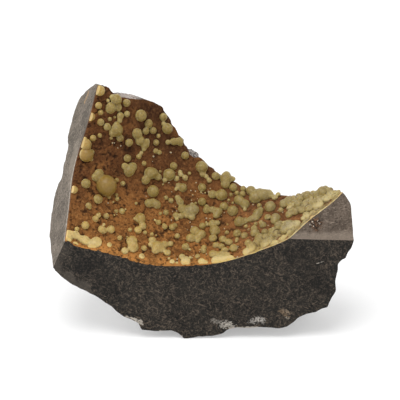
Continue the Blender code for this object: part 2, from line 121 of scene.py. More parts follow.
# Where the crust ends short of the skyline: a broken ledge and a bare knob.
LEDGE = [(112.5, 93), (121, 97), (129, 98.4), (137, 99.2), (145, 99.2)]
LEDGE_DROP = 8.0                      # how far the ledge falls back
KNOB = [(187, 148), (189, 155), (193, 158), (199.5, 157.5)]
# The wall carried on past the saw cuts, which then trim it.
WALL_SPARE = [(348, 192.5), (354, 195), (356, 203), (346, 214), (332, 226),
              (318, 240), (300, 256), (280, 266), (255, 275), (230, 282),
              (200, 287), (165, 288), (130, 284), (100, 276), (72, 270),
              (52, 258), (44, 235), (46, 200), (52, 160), (60, 120),
              (70, 92), (80, 77)]


# Clusters of calcite balls: (column, row, radius), in squares.
CLUSTERS = [
    [(99.8, 90.6, 5.3)],
    [(98.5, 105.5, 3.5)],
    [(100.6, 112.4, 2.8)],
    [(90.7, 116.8, 4.3)],
    [(116.3, 99.6, 5.9), (111.5, 96.7, 2.3), (110.5, 108.2, 5.6),
     (118.2, 107.5, 4), (107.6, 100.5, 2), (120.1, 115.8, 3.9),
     (126.8, 113.9, 3.3), (119.4, 120.9, 2.8)],
    [(126.5, 102.9, 3.9)],
    [(109.9, 119, 2.1)],
    [(114.7, 117.1, 1.4)],
    [(100.6, 122, 3.8), (107, 126.7, 4), (116.6, 129.8, 6.5), (112.4, 133, 4),
     (120.1, 138.1, 4), (116.3, 124.1, 2.8)],
    [(111.1, 138.1, 1.8)],
    [(99.8, 135.5, 2.3)],
    [(93, 138.1, 3.3)],
    [(86, 144.6, 5.6), (84.5, 139.4, 2.7), (86.6, 147.6, 4.4), (86.4, 154.6, 7.2),
     (91.2, 152.4, 3.2), (91, 159.2, 2.2)],
    [(140.8, 115.5, 5.9)],
    [(148.5, 123.5, 4.4), (145.6, 131.1, 3.8), (153.2, 130.5, 3.8)],
    [(158.4, 135.9, 2.2)],
    [(137, 133.4, 5.6), (139.8, 140.7, 5), (145, 144.5, 4.4), (147, 141.3, 3),
     (143.7, 149, 2.6), (129, 142.6, 4.3)],
    [(156.1, 142.5, 3.1)],
    [(141.4, 152.8, 2.2), (138.9, 156.6, 2.8)],
    [(127.4, 158.2, 3.8)],
    [(144, 163.3, 2.4)],
    [(155.8, 150.9, 2.8), (159.6, 152.5, 2.4)],
    [(124.5, 166.2, 3.6), (132.5, 166.8, 4.8), (129, 171.5, 5.6)],
    [(163.4, 116.8, 4.2), (163.1, 123.5, 2.2), (167.3, 128.6, 5.7)],
    [(167.9, 142.1, 2.8), (173.9, 141.5, 4), (179.7, 141.2, 4.2),
     (180.6, 144, 2.5)],
    [(185.1, 155.5, 3.9)],
    [(173.5, 166, 3.8)],
    [(149.7, 173.1, 6), (153.5, 173, 5), (158.3, 177.2, 3.7), (145.6, 180.2, 4.6)],
    [(160.2, 171.5, 1.4)],
    [(169.1, 174.6, 6.2), (164.7, 180.4, 2.6), (176.5, 178.5, 3),
     (180.6, 174.6, 2.6), (180, 171.8, 2.2), (185.1, 177.8, 3.1),
     (162.8, 184.5, 1.2)],
    [(189.5, 173.4, 1.8)],
    [(152.9, 191.3, 6)],
    [(182.5, 187.7, 4.7), (178.1, 185.5, 2.8), (175.8, 189.3, 2)],
    [(201.7, 167, 6.3), (202.6, 174, 3.2), (206.4, 176.6, 2.4),
     (209.3, 180.4, 2.8)],
    [(202, 187.4, 4.2), (201, 192.5, 1.2), (205.2, 192.8, 1)],
    [(212.2, 194.4, 4.4), (221.7, 195, 6.1)],
    [(202, 201.7, 4.1)],
    [(215.7, 175.9, 4.4), (226, 178.5, 6), (226.5, 174.6, 3.5),
     (225.3, 184.8, 4.5), (233, 179, 2.8)],
    [(233.2, 187.5, 4)],
    [(231, 194.6, 2)],
    [(236.8, 193, 2.4)],
    [(228.8, 200.2, 1.6)],
    [(85.9, 183.5, 4.8)],
    [(73.8, 189.6, 4)],
    [(106.2, 185, 10.2), (106.9, 187.4, 9), (109, 197.4, 1.7), (99.2, 173.1, 4.5),
     (95.6, 177.1, 4.5)],
    [(116.7, 180.2, 2.3)],
    [(122.9, 183.5, 2.5)],
    [(98, 199.1, 4.7)],
    [(88.5, 205.5, 3.2), (90.1, 208.1, 1.4)],
    [(116.5, 194.7, 1.8), (117.2, 198.8, 2.4)],
    [(113.3, 202, 1.1)],
    [(136.1, 203.3, 1.6)],
    [(116.2, 211.3, 2)],
    [(122, 211.3, 3.2), (125.5, 209.3, 1.1)],
    [(114.3, 215.1, 0.9)],
    [(98.7, 215.1, 2.8), (95.5, 218.9, 3.5)],
    [(106.3, 216, 2.9)],
    [(85.3, 225.3, 4)],
    [(77, 229.1, 2.5)],
    [(69, 234.2, 4.8), (75.7, 234.8, 4.2), (69.3, 238.7, 3.4), (80.8, 238.7, 3.2),
     (85.3, 240, 4.7), (91, 243.8, 4), (96.5, 242, 5.8)],
    [(75.4, 244.7, 3.6)],
    [(101.5, 229.1, 3.8), (103.8, 224.6, 1.8), (103.8, 231, 3.2),
     (110.8, 229.4, 4.3)],
    [(119.7, 238, 2.6)],
    [(127.1, 237, 1)],
    [(129.9, 229.7, 2.2)],
    [(109.5, 244.7, 2.5)],
    [(131.8, 241.2, 5.8), (133, 247.5, 5.6), (124.8, 250.8, 4)],
    [(126.7, 257.2, 0.9)],
    [(140.2, 218.5, 5.7), (134.1, 218.8, 1.2), (142.8, 226.1, 3.9),
     (138, 230.3, 4)],
    [(145, 232.5, 2.1)],
    [(151.8, 234.3, 2)],
    [(156.1, 235.3, 1)],
    [(154.9, 220.1, 1.3), (158.4, 222.3, 2.9)],
    [(164.8, 226.8, 2.8), (163.8, 224.6, 1.6)],
    [(172.1, 227.4, 3.4), (175, 225.5, 2.6)],
    [(148.7, 203.2, 4.6), (153.3, 201.6, 3.2), (156.8, 204.7, 4.5)],
    [(165.9, 197.6, 2.5), (171, 200.5, 2.8)],
    [(160.3, 213.4, 1.7)],
    [(166, 212.4, 2.8)],
    [(177.4, 197.6, 3.2), (180, 202.1, 4), (181.9, 209.1, 4.6),
     (190.8, 210.4, 6.5), (194.6, 209.7, 4.8), (192.1, 204.6, 2.4),
     (192.1, 217.4, 3.4), (186.4, 214.8, 3.6)],
    [(175.8, 215.1, 3.2), (181.3, 215.8, 3.2), (176.8, 219, 2)],
    [(195.6, 203.3, 1.5)],
    [(206.4, 210, 3.8), (206.4, 206.5, 2.2), (212.5, 209.7, 3.6),
     (218.2, 211.6, 4.4), (216, 215.5, 3.4)],
    [(223.8, 206.3, 4.5), (232.7, 210.9, 5.8), (232.9, 203, 1.8)],
    [(177.2, 236, 2.7)],
    [(194.4, 230.6, 4.8), (201.4, 234.4, 4.8), (190.6, 238.3, 5),
     (197.6, 238.3, 4), (197.6, 241.8, 1.6)],
    [(202.4, 225.8, 3.5), (207.5, 224.6, 2.4), (206.2, 222.2, 1.2)],
    [(212.3, 223.6, 4.2), (217.4, 223, 3), (214.8, 230.6, 5.6),
     (212.9, 238.3, 4.6)],
    [(226.9, 232.5, 2.2)],
    [(227.6, 224.4, 0.9)],
    [(144, 248.2, 2.8)],
    [(141.8, 256.1, 2.9)],
    [(152.3, 240.2, 4), (149.8, 245, 2.4), (157.4, 246.6, 6), (155.5, 250.4, 4),
     (164.4, 244.6, 4), (170.5, 244, 3.2), (162.5, 249.7, 3.4),
     (167.6, 252.9, 3.6)],
    [(185.5, 246.9, 4), (190, 249.7, 1.6)],
    [(204, 247.5, 2.8), (203.7, 251, 3), (200.2, 249.7, 1)],
    [(168.9, 258.4, 1.5), (172.1, 261.2, 2.8), (176.9, 262.2, 1.7)],
    [(182, 256.8, 3.3), (185.5, 260.6, 5.2), (190.3, 257.7, 1.8),
     (192.5, 264.7, 1.5)],
    [(197.6, 256.4, 2.7), (201.4, 260.6, 3.8), (205.3, 261.5, 2.8)],
    [(239.5, 200.5, 5), (245, 204.2, 5), (237.9, 199.3, 3.6), (244.8, 209.9, 2)],
    [(242.6, 194, 3.2)],
    [(243.3, 188.7, 3)],
    [(250.8, 190.4, 5), (259.3, 193, 5), (255.3, 197.5, 6.6), (264.6, 194.8, 6),
     (270, 194.8, 4), (269.6, 191.7, 2.2), (274.9, 197.9, 2.9),
     (278.5, 194.4, 2.5)],
    [(259.3, 205.5, 2.4)],
    [(270.1, 207, 5.8)],
    [(281, 210, 2.6)],
    [(239.4, 221.9, 5.6), (245.2, 221, 3.6), (251.4, 219.2, 3.4),
     (255.9, 217.9, 4), (257.7, 213.8, 5), (260.4, 210.3, 3.5)],
    [(246, 226.3, 2)],
    [(255.8, 223.9, 2.2)],
    [(248.3, 229.9, 1)],
    [(267.9, 217.3, 3.6), (275.8, 218, 5.2), (274.6, 221, 4)],
    [(263, 225.1, 3.8), (260.8, 222.3, 2.4)],
    [(237.1, 233.5, 4.5), (244.5, 235.8, 4)],
    [(237.2, 239.2, 2.2), (236.3, 241.3, 1.6)],
    [(254.9, 232.7, 5), (254.1, 228.6, 3.6)],
    [(264.7, 232.2, 3.4)],
    [(270.7, 230.4, 2.4)],
    [(278.5, 226, 4.6), (289.6, 225.5, 6), (284.3, 229.6, 5), (296.5, 224, 4.5),
     (294.5, 231, 4), (289.6, 233.2, 3.6), (284.3, 236.8, 3), (282.7, 239.3, 2.8)],
    [(259.5, 238, 5), (265.7, 237.5, 4), (272, 235.7, 3.5), (258.6, 242, 5),
     (264.8, 243.8, 5), (270, 241, 5), (274.6, 242.9, 4.4)],
    [(248.2, 243, 3.6)],
    [(251.4, 247.5, 5.4), (246.1, 251.8, 4)],
    [(260.4, 250, 3.6)],
    [(222.7, 239.4, 4), (228.2, 242.1, 3.6), (230, 242.9, 3), (233.6, 248.2, 4.4),
     (224.6, 250.6, 4)],
    [(215.8, 245.2, 3.6), (221.5, 246.5, 3.4)],
    [(213, 254.3, 4.5), (219.3, 255.4, 4), (222.5, 256.1, 5), (227.3, 255.4, 3.6)],
    [(215.7, 259.8, 5), (222.9, 258.9, 5), (230, 258, 4.4), (235.4, 258.9, 3)],
    [(283.8, 203.8, 4.6), (288.8, 200.2, 4), (294.1, 199.3, 4.4),
     (300.4, 199.3, 4.4), (303.9, 194.8, 3), (307.5, 195.7, 5),
     (317.3, 194.8, 4.5), (322.7, 192.1, 6), (325.4, 189.5, 4),
     (330.7, 193.9, 4.4), (335.2, 193, 2), (338.8, 192.6, 2.5)],
    [(298.6, 204.6, 5), (305.7, 205.5, 5), (312.9, 203.8, 5), (320, 200.2, 5),
     (327.1, 198.4, 4.6), (334.3, 196.6, 4)],
    [(289.6, 214.5, 4.4), (295.9, 211.8, 4.4), (302.1, 210, 4.4),
     (309.3, 209.1, 4.2), (315.5, 206.4, 4.2), (320, 204.6, 4)],
    [(303, 218.9, 2.6), (303.9, 221.6, 2.6), (302.3, 224.1, 4), (306.6, 215.4, 4),
     (312.9, 212.7, 3.8), (319.1, 210, 3.6), (325.4, 207.3, 3.4)],
]
SPECKS = [
    (112.4, 142.9), (117.8, 148), (120.7, 145.8), (153.6, 156.5), (170.8, 152.5),
    (196.2, 182.6), (190.8, 190.6), (192.7, 195), (171.4, 220.2), (190.2, 222.2),
    (206.4, 218.3), (206.1, 222.5), (224.3, 212.6), (206.5, 218.5),
]

# Where the balls have run together into one lumpy crust.
CRUSTS = [
    [(273.7, 223.5), (286, 220.5), (300, 221), (302, 226), (292.5, 237.5), (280, 243),
     (266, 249.5), (255, 254.5), (244, 257), (247, 249), (254, 240), (256, 234),
     (266, 236), (272, 231)],
    [(280, 206), (289, 197.5), (305, 195), (317.5, 192.5), (330, 190), (341, 192.5),
     (338, 200.5), (327.5, 210.5), (314.5, 217.5), (306, 222.5), (301, 214.5), (287, 215.5),
     (289, 209)],
]
# Fields of tiny crystals: (column, row, how many, spread), in squares.
SPECK_FIELDS = [
    (118, 147, 2, 3.0), (153.5, 157, 6, 2.2), (171, 181, 10, 4.5), (163, 178, 5, 3.0),
    (116, 194, 4, 2.0), (192, 195, 6, 6.0), (206, 193, 5, 3.0), (231, 198, 10, 5.0),
    (237, 194, 6, 3.0), (174, 214, 5, 4.0), (207, 222, 8, 3.5), (226, 230, 5, 5.0),
    (250, 228, 7, 3.0), (247, 240, 6, 3.0), (237, 247, 5, 3.0), (201, 251, 5, 3.0),
    (172, 261, 5, 3.0), (192, 258, 5, 3.0), (153, 235, 4, 3.0), (127, 238, 3, 3.0),
    (283, 212, 5, 3.0), (240, 262, 4, 3.0), (215, 215, 5, 6.0), (150, 205, 4, 8.0),
    (110, 215, 4, 6.0), (190, 230, 4, 7.0), (270, 225, 5, 5.0), (257, 203, 5, 4.0),
]

# Where each solid's first ball stands, calcite_01 onwards.
SOLIDS = [
    (101.6, 90.8), (116.3, 99.6), (126.5, 102.9), (90.7, 116.8), (140.8, 115.5),
    (163.4, 116.8), (100.6, 122), (116.6, 129.8), (148.5, 123.5), (167.3, 128.6),
    (86, 144.5), (137, 133.4), (129, 142.6), (179.7, 141.2), (127.4, 158.2),
    (185.1, 155.5), (132, 167.2), (149.7, 173.1), (169.1, 174.6), (201.7, 167),
    (85.9, 183.5), (106.3, 186), (73.8, 189.6), (98, 199.1), (152.9, 191.3),
    (182.5, 187.7), (202, 187.4), (215, 175.9), (226, 178.5), (221.7, 195),
    (202, 201.7), (148.7, 203.2), (181.9, 209.1), (218.2, 211.6), (232.7, 210.9),
    (140.2, 218.5), (110.8, 229.4), (69.5, 235.3), (131.8, 241.2), (157.4, 246.6),
    (194.4, 231.2), (214.8, 230.6), (185.5, 260.6), (240, 201.5), (255.3, 197.5),
    (270.1, 207), (239.4, 221.9), (257.2, 213.8), (275.8, 218.3), (254.9, 232),
    (238, 234.2), (287.6, 226.5), (264.8, 242.4), (222.4, 255.6), (298, 203.6),
    (289.6, 214),
]


# ------------------------------------------------------------ layout geometry
SHEET = np.array(SHEET_CENTRE)
TO_EYE = np.array([0.0, -math.cos(VIEW_TILT), math.sin(VIEW_TILT)])
SHEET_UP = np.array([0.0, math.sin(VIEW_TILT), math.cos(VIEW_TILT)])
EYE = SHEET + STATION_DISTANCE * TO_EYE
SHIFT = np.array(ORIGIN_SHIFT)


def sight(squares):
    """Unit directions from the station point through the given squares."""
    q = np.atleast_2d(np.asarray(squares, float))
    p = (SHEET + np.outer((q[:, 0] - 200.0) * SQUARE, [1.0, 0.0, 0.0])
         + np.outer((200.0 - q[:, 1]) * SQUARE, SHEET_UP))
    d = p - EYE
    return d / np.linalg.norm(d, axis=1)[:, None]


def on_plane(squares, normal, point):
    d = sight(squares)
    t = ((np.asarray(point) - EYE) @ normal) / (d @ normal)
    return EYE + t[:, None] * d


def unit(v):
    v = np.asarray(v, float)
    return v / np.linalg.norm(v)


FRONT_N = np.array([0.0, -1.0, 0.0])
ORIGIN = np.zeros(3)


def left_plane():
    """The left saw cut: it holds the piece's front left corner line."""
    top, low = on_plane([(64.8, 241.5), (53.0, 267.5)], FRONT_N, ORIGIN)
    line = Vector(unit(top - low))
    across = Matrix.Rotation(LEFT_CUT_TURN, 3, line) @ Vector((0, 1, 0))
    n = unit(line.cross(across))
    return (n if n[0] < 0 else -n), top


def facet_plane():
    """The bevel at the right: it holds the crease on the front face."""
    a, b = on_plane([(290.0, 239.0), (353.9, 240.5)], FRONT_N, ORIGIN)
    line = Vector(unit(b - a))
    rise = Matrix.Rotation(-FACET_LEAN, 3, line) @ Vector((0, 0, 1))
    n = unit(line.cross(rise))
    return (n if n[1] < 0 else -n), a


LEFT_N, LEFT_P = left_plane()
FACET_N, FACET_P = facet_plane()

_yaw = np.array([[math.cos(BUBBLE_YAW), -math.sin(BUBBLE_YAW), 0.0],
                 [math.sin(BUBBLE_YAW), math.cos(BUBBLE_YAW), 0.0],
                 [0.0, 0.0, 1.0]])
_roll = np.array([[1.0, 0.0, 0.0],
                  [0.0, math.cos(BUBBLE_ROLL), -math.sin(BUBBLE_ROLL)],
                  [0.0, math.sin(BUBBLE_ROLL), math.cos(BUBBLE_ROLL)]])
BUBBLE_AXES = _yaw @ _roll
RADII = np.array(BUBBLE_RADII)


def bubble(squares):
    """Far side of the ellipsoid: distance from the eye, and its facing."""
    d = sight(squares)
    o = ((EYE - np.array(BUBBLE_CENTRE)) @ BUBBLE_AXES) / RADII
    q = (d @ BUBBLE_AXES) / RADII
    a = (q * q).sum(1)
    b = q @ o
    t = (-b + np.sqrt(np.maximum(b * b - a * (o @ o - 1.0), 0.0))) / a
    hit = EYE + t[:, None] * d
    n = -(((hit - np.array(BUBBLE_CENTRE)) @ BUBBLE_AXES) / RADII ** 2) @ BUBBLE_AXES.T
    n /= np.linalg.norm(n, axis=1)[:, None]
    return t, np.maximum(-(n * d).sum(1), 0.15)


def _rim_fit():
    """Soft bumps that make the wall meet each saw plane along its rim."""
    pts, want = [], []
    for rim, n, p in ((FRONT_RIM, FRONT_N, ORIGIN), (LEFT_RIM, LEFT_N, LEFT_P),
                      (FACET_RIM, FACET_N, FACET_P)):
        t, f = bubble(rim)
        real = ((on_plane(rim, n, p) - EYE) * sight(rim)).sum(1)
        pts += rim
        want += list((real - t) * f)
    pts = np.array(pts, float)
    k = np.exp(-((pts[:, None] - pts[None]) ** 2).sum(2) / (2 * (2 * RIM_BLEND) ** 2))
    return pts, np.linalg.solve(k + 0.06 * np.eye(len(pts)), np.array(want))


RIM_PTS, RIM_WEIGHTS = _rim_fit()


def wall_point(squares):
    q = np.atleast_2d(np.asarray(squares, float))
    t, f = bubble(q)
    k = np.exp(-((q[:, None] - RIM_PTS[None]) ** 2).sum(2) / (2 * (2 * RIM_BLEND) ** 2))
    t = t + (k @ RIM_WEIGHTS) / f
    return EYE + t[:, None] * sight(q)


def wall(squares):
    """Points of the bubble's wall and their normals, pointing into the hollow.

    Past the place where the wall turns edge-on to the line of sight it is
    carried on along its tangent; the saws trim that part away.
    """
    q = np.atleast_2d(np.asarray(squares, float))
    held = q.copy()
    for s in np.linspace(1.0, 0.6, 161):
        bad = bubble(held)[1] < EDGE_ON
        if not bad.any():
            break
        held[bad] = WALL_MIDDLE + (q[bad] - WALL_MIDDLE) * s
    e = 0.5
    du = (wall_point(held + [e, 0]) - wall_point(held - [e, 0])) / (2 * e)
    dv = (wall_point(held + [0, e]) - wall_point(held - [0, e])) / (2 * e)
    n = np.cross(dv, du)
    n /= np.linalg.norm(n, axis=1)[:, None]
    n *= np.sign(-(n * sight(held)).sum(1))[:, None]
    rest = q - held
    return wall_point(held) + du * rest[:, :1] + dv * rest[:, 1:], n


def ramp(x, a, b):
    t = np.clip((x - a) / (b - a), 0.0, 1.0)
    return t * t * (3 - 2 * t)



# ------------------------------------------------------------- noise and nets
def _hash(ix, iy, iz, seed):
    h = (ix * 374761393 + iy * 668265263 + iz * 1442695041 + seed * 974634777) & 0xFFFFFFFF
    h = ((h ^ (h >> 13)) * 1274126177) & 0xFFFFFFFF
    h = h ^ (h >> 16)
    h = (h * 1911520717) & 0xFFFFFFFF
    return h ^ (h >> 13)


GRADS = np.array([[1, 1, 0], [-1, 1, 0], [1, -1, 0], [-1, -1, 0],
                  [1, 0, 1], [-1, 0, 1], [1, 0, -1], [-1, 0, -1],
                  [0, 1, 1], [0, -1, 1], [0, 1, -1], [0, -1, -1],
                  [1, 1, 0], [-1, 1, 0], [0, -1, 1], [0, -1, -1]], float)


def perlin(p, seed=0):
    i = np.floor(p).astype(np.int64)
    f = p - i
    u = f * f * f * (f * (f * 6 - 15) + 10)
    out = np.zeros(len(p))
    for dx in (0, 1):
        wx = u[:, 0] if dx else 1 - u[:, 0]
        for dy in (0, 1):
            wy = u[:, 1] if dy else 1 - u[:, 1]
            for dz in (0, 1):
                wz = u[:, 2] if dz else 1 - u[:, 2]
                g = GRADS[_hash(i[:, 0] + dx, i[:, 1] + dy, i[:, 2] + dz, seed) & 15]
                out += wx * wy * wz * ((f - (dx, dy, dz)) * g).sum(1)
    return out


def fbm(p, size, octaves=4, gain=0.5, seed=0):
    """Layered noise of about -1 to 1; size is its longest wavelength."""
    total, amp, norm = 0.0, 1.0, 0.0
    for k in range(octaves):
        total = total + amp * perlin(p / size * 2.0 ** k + 17.3 * k, seed + k)
        norm += amp
        amp *= gain
    return total / norm * 1.7


def cells(p, seed=0, jitter=1.0):
    """Distances to the nearest and next feature point of a jittered lattice, its hash."""
    dim = p.shape[1]
    i = np.floor(p).astype(np.int64)
    near = np.full(len(p), 9.0)
    nxt = np.full(len(p), 9.0)
    tag = np.zeros(len(p), np.int64)
    for off in np.ndindex(*(3,) * dim):
        c = i + (np.array(off) - 1)
        z = c[:, 2] if dim == 3 else np.zeros(len(p), np.int64)
        h = _hash(c[:, 0], c[:, 1], z, seed)
        f = c + 0.5
        f = f + (np.stack([(h >> (8 * k)) & 255 for k in range(dim)], 1) / 255.0 - 0.5) * jitter
        d = np.sqrt(((p - f) ** 2).sum(1))
        nxt = np.minimum(nxt, np.maximum(near, d))
        better = d < near
        near = np.where(better, d, near)
        tag = np.where(better, h, tag)
    return near, nxt, tag


def inside(poly, q):
    x, y = q[:, 0], q[:, 1]
    hit = np.zeros(len(q), bool)
    j = len(poly) - 1
    for i in range(len(poly)):
        (xi, yi), (xj, yj) = poly[i], poly[j]
        if yi != yj:
            hit ^= ((yi > y) != (yj > y)) & (x < (xj - xi) * (y - yi) / (yj - yi) + xi)
        j = i
    return hit


def line_distance(line, q):
    best = np.full(len(q), 1e9)
    for a, b in zip(line, line[1:]):
        a, b = np.array(a, float), np.array(b, float)
        s = np.clip(((q - a) @ (b - a)) / max((b - a) @ (b - a), 1e-9), 0, 1)
        best = np.minimum(best, np.linalg.norm(q - (a + s[:, None] * (b - a)), axis=1))
    return best


def finer(line, step, rng=None, rough=0.0, close=False):
    """A chain cut into short stretches, each new point set a little aside."""
    pts = [np.array(p, float) for p in line]
    if close:
        pts.append(pts[0])
    out = []
    for a, b in zip(pts, pts[1:]):
        n = max(1, int(round(np.linalg.norm(b - a) / step)))
        side = np.array([a[1] - b[1], b[0] - a[0]]) / max(np.linalg.norm(b - a), 1e-9)
        for k in range(n):
            p = a + (b - a) * k / n
            if k and rng is not None:
                p = p + side * rng.normal(0, rough)
            out.append(tuple(p))
    if not close:
        out.append(tuple(pts[-1]))
    return out


def net(poly, inner_lines, step, rng, keep_off=0.42):
    """Squares and triangles over a polygon: its corners, its lines, a loose grid."""
    pts = [tuple(map(float, p)) for p in poly]
    lines = [(i, (i + 1) % len(pts)) for i in range(len(pts))]
    index = {p: i for i, p in enumerate(pts)}
    for chain in inner_lines:
        ids = []
        for p in chain:
            p = tuple(map(float, p))
            if p not in index:
                index[p] = len(pts)
                pts.append(p)
            ids.append(index[p])
        lines += list(zip(ids, ids[1:]))
    x0, y0 = np.min(poly, axis=0)
    x1, y1 = np.max(poly, axis=0)
    gx, gy = np.meshgrid(np.arange(x0, x1, step), np.arange(y0, y1, step * 0.87))
    gx = gx + (np.arange(gx.shape[0]) % 2)[:, None] * step / 2
    fill = np.stack([gx.ravel(), gy.ravel()], 1)
    fill = fill + rng.uniform(-1, 1, fill.shape) * step * 0.2
    ring = list(poly) + [poly[0]]
    keep = inside(poly, fill)
    fill = fill[keep]
    fill = fill[line_distance(ring, fill) > step * keep_off]
    for chain in inner_lines:
        fill = fill[line_distance(list(chain), fill) > step * keep_off]
    pts += [tuple(p) for p in fill]
    out = geometry.delaunay_2d_cdt([Vector(v) for v in pts], lines, [], 0, 1e-6)
    q = np.array([tuple(v) for v in out[0]])
    tris = np.array(out[2])
    return q, tris[inside(poly, q[tris].mean(1))]


def co_of(me):
    co = np.empty(len(me.vertices) * 3, np.float32)
    me.vertices.foreach_get("co", co)
    return co.reshape(-1, 3).astype(float)


def set_co(me, co):
    me.vertices.foreach_set("co", np.asarray(co, np.float32).ravel())
    me.update()


def normals_of(me):
    n = np.empty(len(me.vertices) * 3, np.float32)
    me.vertex_normals.foreach_get("vector", n)
    return n.reshape(-1, 3).astype(float)


def edges_of(me):
    e = np.empty(len(me.edges) * 2, np.int32)
    me.edges.foreach_get("vertices", e)
    return e.reshape(-1, 2)


def blurred(values, edges, passes):
    """Values averaged with those of each point's neighbours, several times over."""
    n = len(values)
    a, b = edges.T
    count = np.maximum(np.bincount(a, minlength=n) + np.bincount(b, minlength=n), 1)
    out = values.reshape(n, -1)
    for _ in range(passes):
        total = [np.bincount(a, out[b, k], n) + np.bincount(b, out[a, k], n)
                 for k in range(out.shape[1])]
        out = 0.5 * out + 0.5 * np.stack(total, 1) / count[:, None]
    return out.reshape(values.shape)


def close_up(bm):
    """Takes off single faces that hang by one edge, and closes what is left open."""
    for _ in range(3):
        flaps = [f for f in bm.faces if sum(not e.is_manifold for e in f.edges) > 1]
        if not flaps:
            break
        bmesh.ops.delete(bm, geom=flaps, context='FACES')
    gaps = [e for e in bm.edges if e.is_boundary]
    if gaps:
        bmesh.ops.holes_fill(bm, edges=gaps, sides=0)


def link(name, me):
    ob = bpy.data.objects.new(name, me)
    bpy.context.scene.collection.objects.link(ob)
    return ob


def drop_object(ob):
    me = ob.data
    bpy.data.objects.remove(ob)
    if me.users == 0:
        bpy.data.meshes.remove(me)


def to_mesh(name, bm, fix=True):
    if fix:
        bmesh.ops.recalc_face_normals(bm, faces=bm.faces)
        if bm.calc_volume(signed=True) < 0:
            bmesh.ops.reverse_faces(bm, faces=bm.faces)
    me = bpy.data.meshes.new(name)
    bm.to_mesh(me)
    bm.free()
    return me


def evaluated(ob, name):
    bpy.context.view_layer.update()
    dg = bpy.context.evaluated_depsgraph_get()
    return bpy.data.meshes.new_from_object(ob.evaluated_get(dg))


def slab_mesh(name, tris, upper, lower):
    """Closed solid between two surfaces over one net, with its side walls."""
    used = np.unique(tris)
    place = np.full(tris.max() + 1, -1)
    place[used] = np.arange(len(used))
    t = place[tris]
    n = len(used)
    e = np.concatenate([t[:, [0, 1]], t[:, [1, 2]], t[:, [2, 0]]])
    key = np.sort(e, 1)
    _, first, count = np.unique(key, axis=0, return_index=True, return_counts=True)
    rim = e[first[count == 1]]
    faces = np.concatenate([t, t[:, ::-1] + n,
                            np.stack([rim[:, 1], rim[:, 0], rim[:, 0] + n], 1),
                            np.stack([rim[:, 1], rim[:, 0] + n, rim[:, 1] + n], 1)])
    co = np.concatenate([upper[used], lower[used]])
    me = bpy.data.meshes.new(name)
    me.from_pydata(co.tolist(), [], faces.tolist())
    me.update()
    return me, used


def prism(points3, direction, start, end):
    bm = bmesh.new()
    d = np.asarray(direction, float)
    vs = [bm.verts.new(np.asarray(p) + d * start) for p in points3]
    face = bm.faces.new(vs)
    ext = bmesh.ops.extrude_face_region(bm, geom=[face], use_keep_orig=True)
    move = [g for g in ext["geom"] if isinstance(g, bmesh.types.BMVert)]
    bmesh.ops.translate(bm, verts=move, vec=d * (end - start))
    bmesh.ops.triangulate(bm, faces=bm.faces)
    return bm


def saw(bm, normal, point, step, only=None, seed=0):
    """Cuts everything past a plane away and fills the cut with a fine flat net."""
    n = Vector(normal).normalized()
    p = Vector(point)
    faces = [f for f in bm.faces if only is None or only(f.calc_center_median())]
    geom = list({v for f in faces for v in f.verts}) + \
        list({e for f in faces for e in f.edges}) + faces
    res = bmesh.ops.bisect_plane(bm, geom=geom, dist=1e-4, plane_co=p, plane_no=n,
                                 clear_outer=True)
    edges = [g for g in res["geom_cut"] if isinstance(g, bmesh.types.BMEdge)
             and g.is_valid and g.is_boundary]
    if not edges:
        return []
    u = n.orthogonal().normalized()
    v = n.cross(u)
    bm.verts.index_update()
    ring = sorted({x for e in edges for x in e.verts}, key=lambda x: x.index)
    where = {x: i for i, x in enumerate(ring)}
    flat = np.array([((x.co - p).dot(u), (x.co - p).dot(v)) for x in ring])
    pairs = np.array([(where[e.verts[0]], where[e.verts[1]]) for e in edges])

    def within(q):
        hit = np.zeros(len(q), bool)
        for i, j in pairs:
            (xi, yi), (xj, yj) = flat[i], flat[j]
            if yi != yj:
                hit ^= ((yi > q[:, 1]) != (yj > q[:, 1])) & \
                    (q[:, 0] < (xj - xi) * (q[:, 1] - yi) / (yj - yi) + xi)
        return hit

    pts = flat.tolist()
    if step:
        rng = np.random.default_rng(seed)
        lo, hi = flat.min(0), flat.max(0)
        gx, gy = np.meshgrid(np.arange(lo[0], hi[0], step),
                             np.arange(lo[1], hi[1], step * 0.87))
        gx = gx + (np.arange(gx.shape[0]) % 2)[:, None] * step / 2
        fill = np.stack([gx.ravel(), gy.ravel()], 1)
        fill = fill + rng.uniform(-1, 1, fill.shape) * step * 0.18
        fill = fill[within(fill)]
        near = np.concatenate([np.sqrt(((c[:, None] - flat[None]) ** 2).sum(2)).min(1)
                               for c in np.array_split(fill, max(1, len(fill) // 1500))]) \
            if len(fill) else np.zeros(0)
        pts += fill[near > step * 0.55].tolist()
    out = geometry.delaunay_2d_cdt([Vector(x) for x in pts], pairs.tolist(), [], 0, 1e-7)
    q = np.array([tuple(x) for x in out[0]])
    tris = np.array(out[2])
    tris = tris[within(q[tris].mean(1))]
    bmv = []
    for x, orig in zip(out[0], out[3]):
        old = [o for o in orig if o < len(ring)]
        bmv.append(ring[old[0]] if old else None)
    made = []
    for t in tris.tolist():
        vs = []
        for i in t:
            if bmv[i] is None:
                bmv[i] = bm.verts.new(p + u * float(q[i][0]) + v * float(q[i][1]))
            vs.append(bmv[i])
        try:
            made.append(bm.faces.new(vs))
        except ValueError:
            pass
    return made


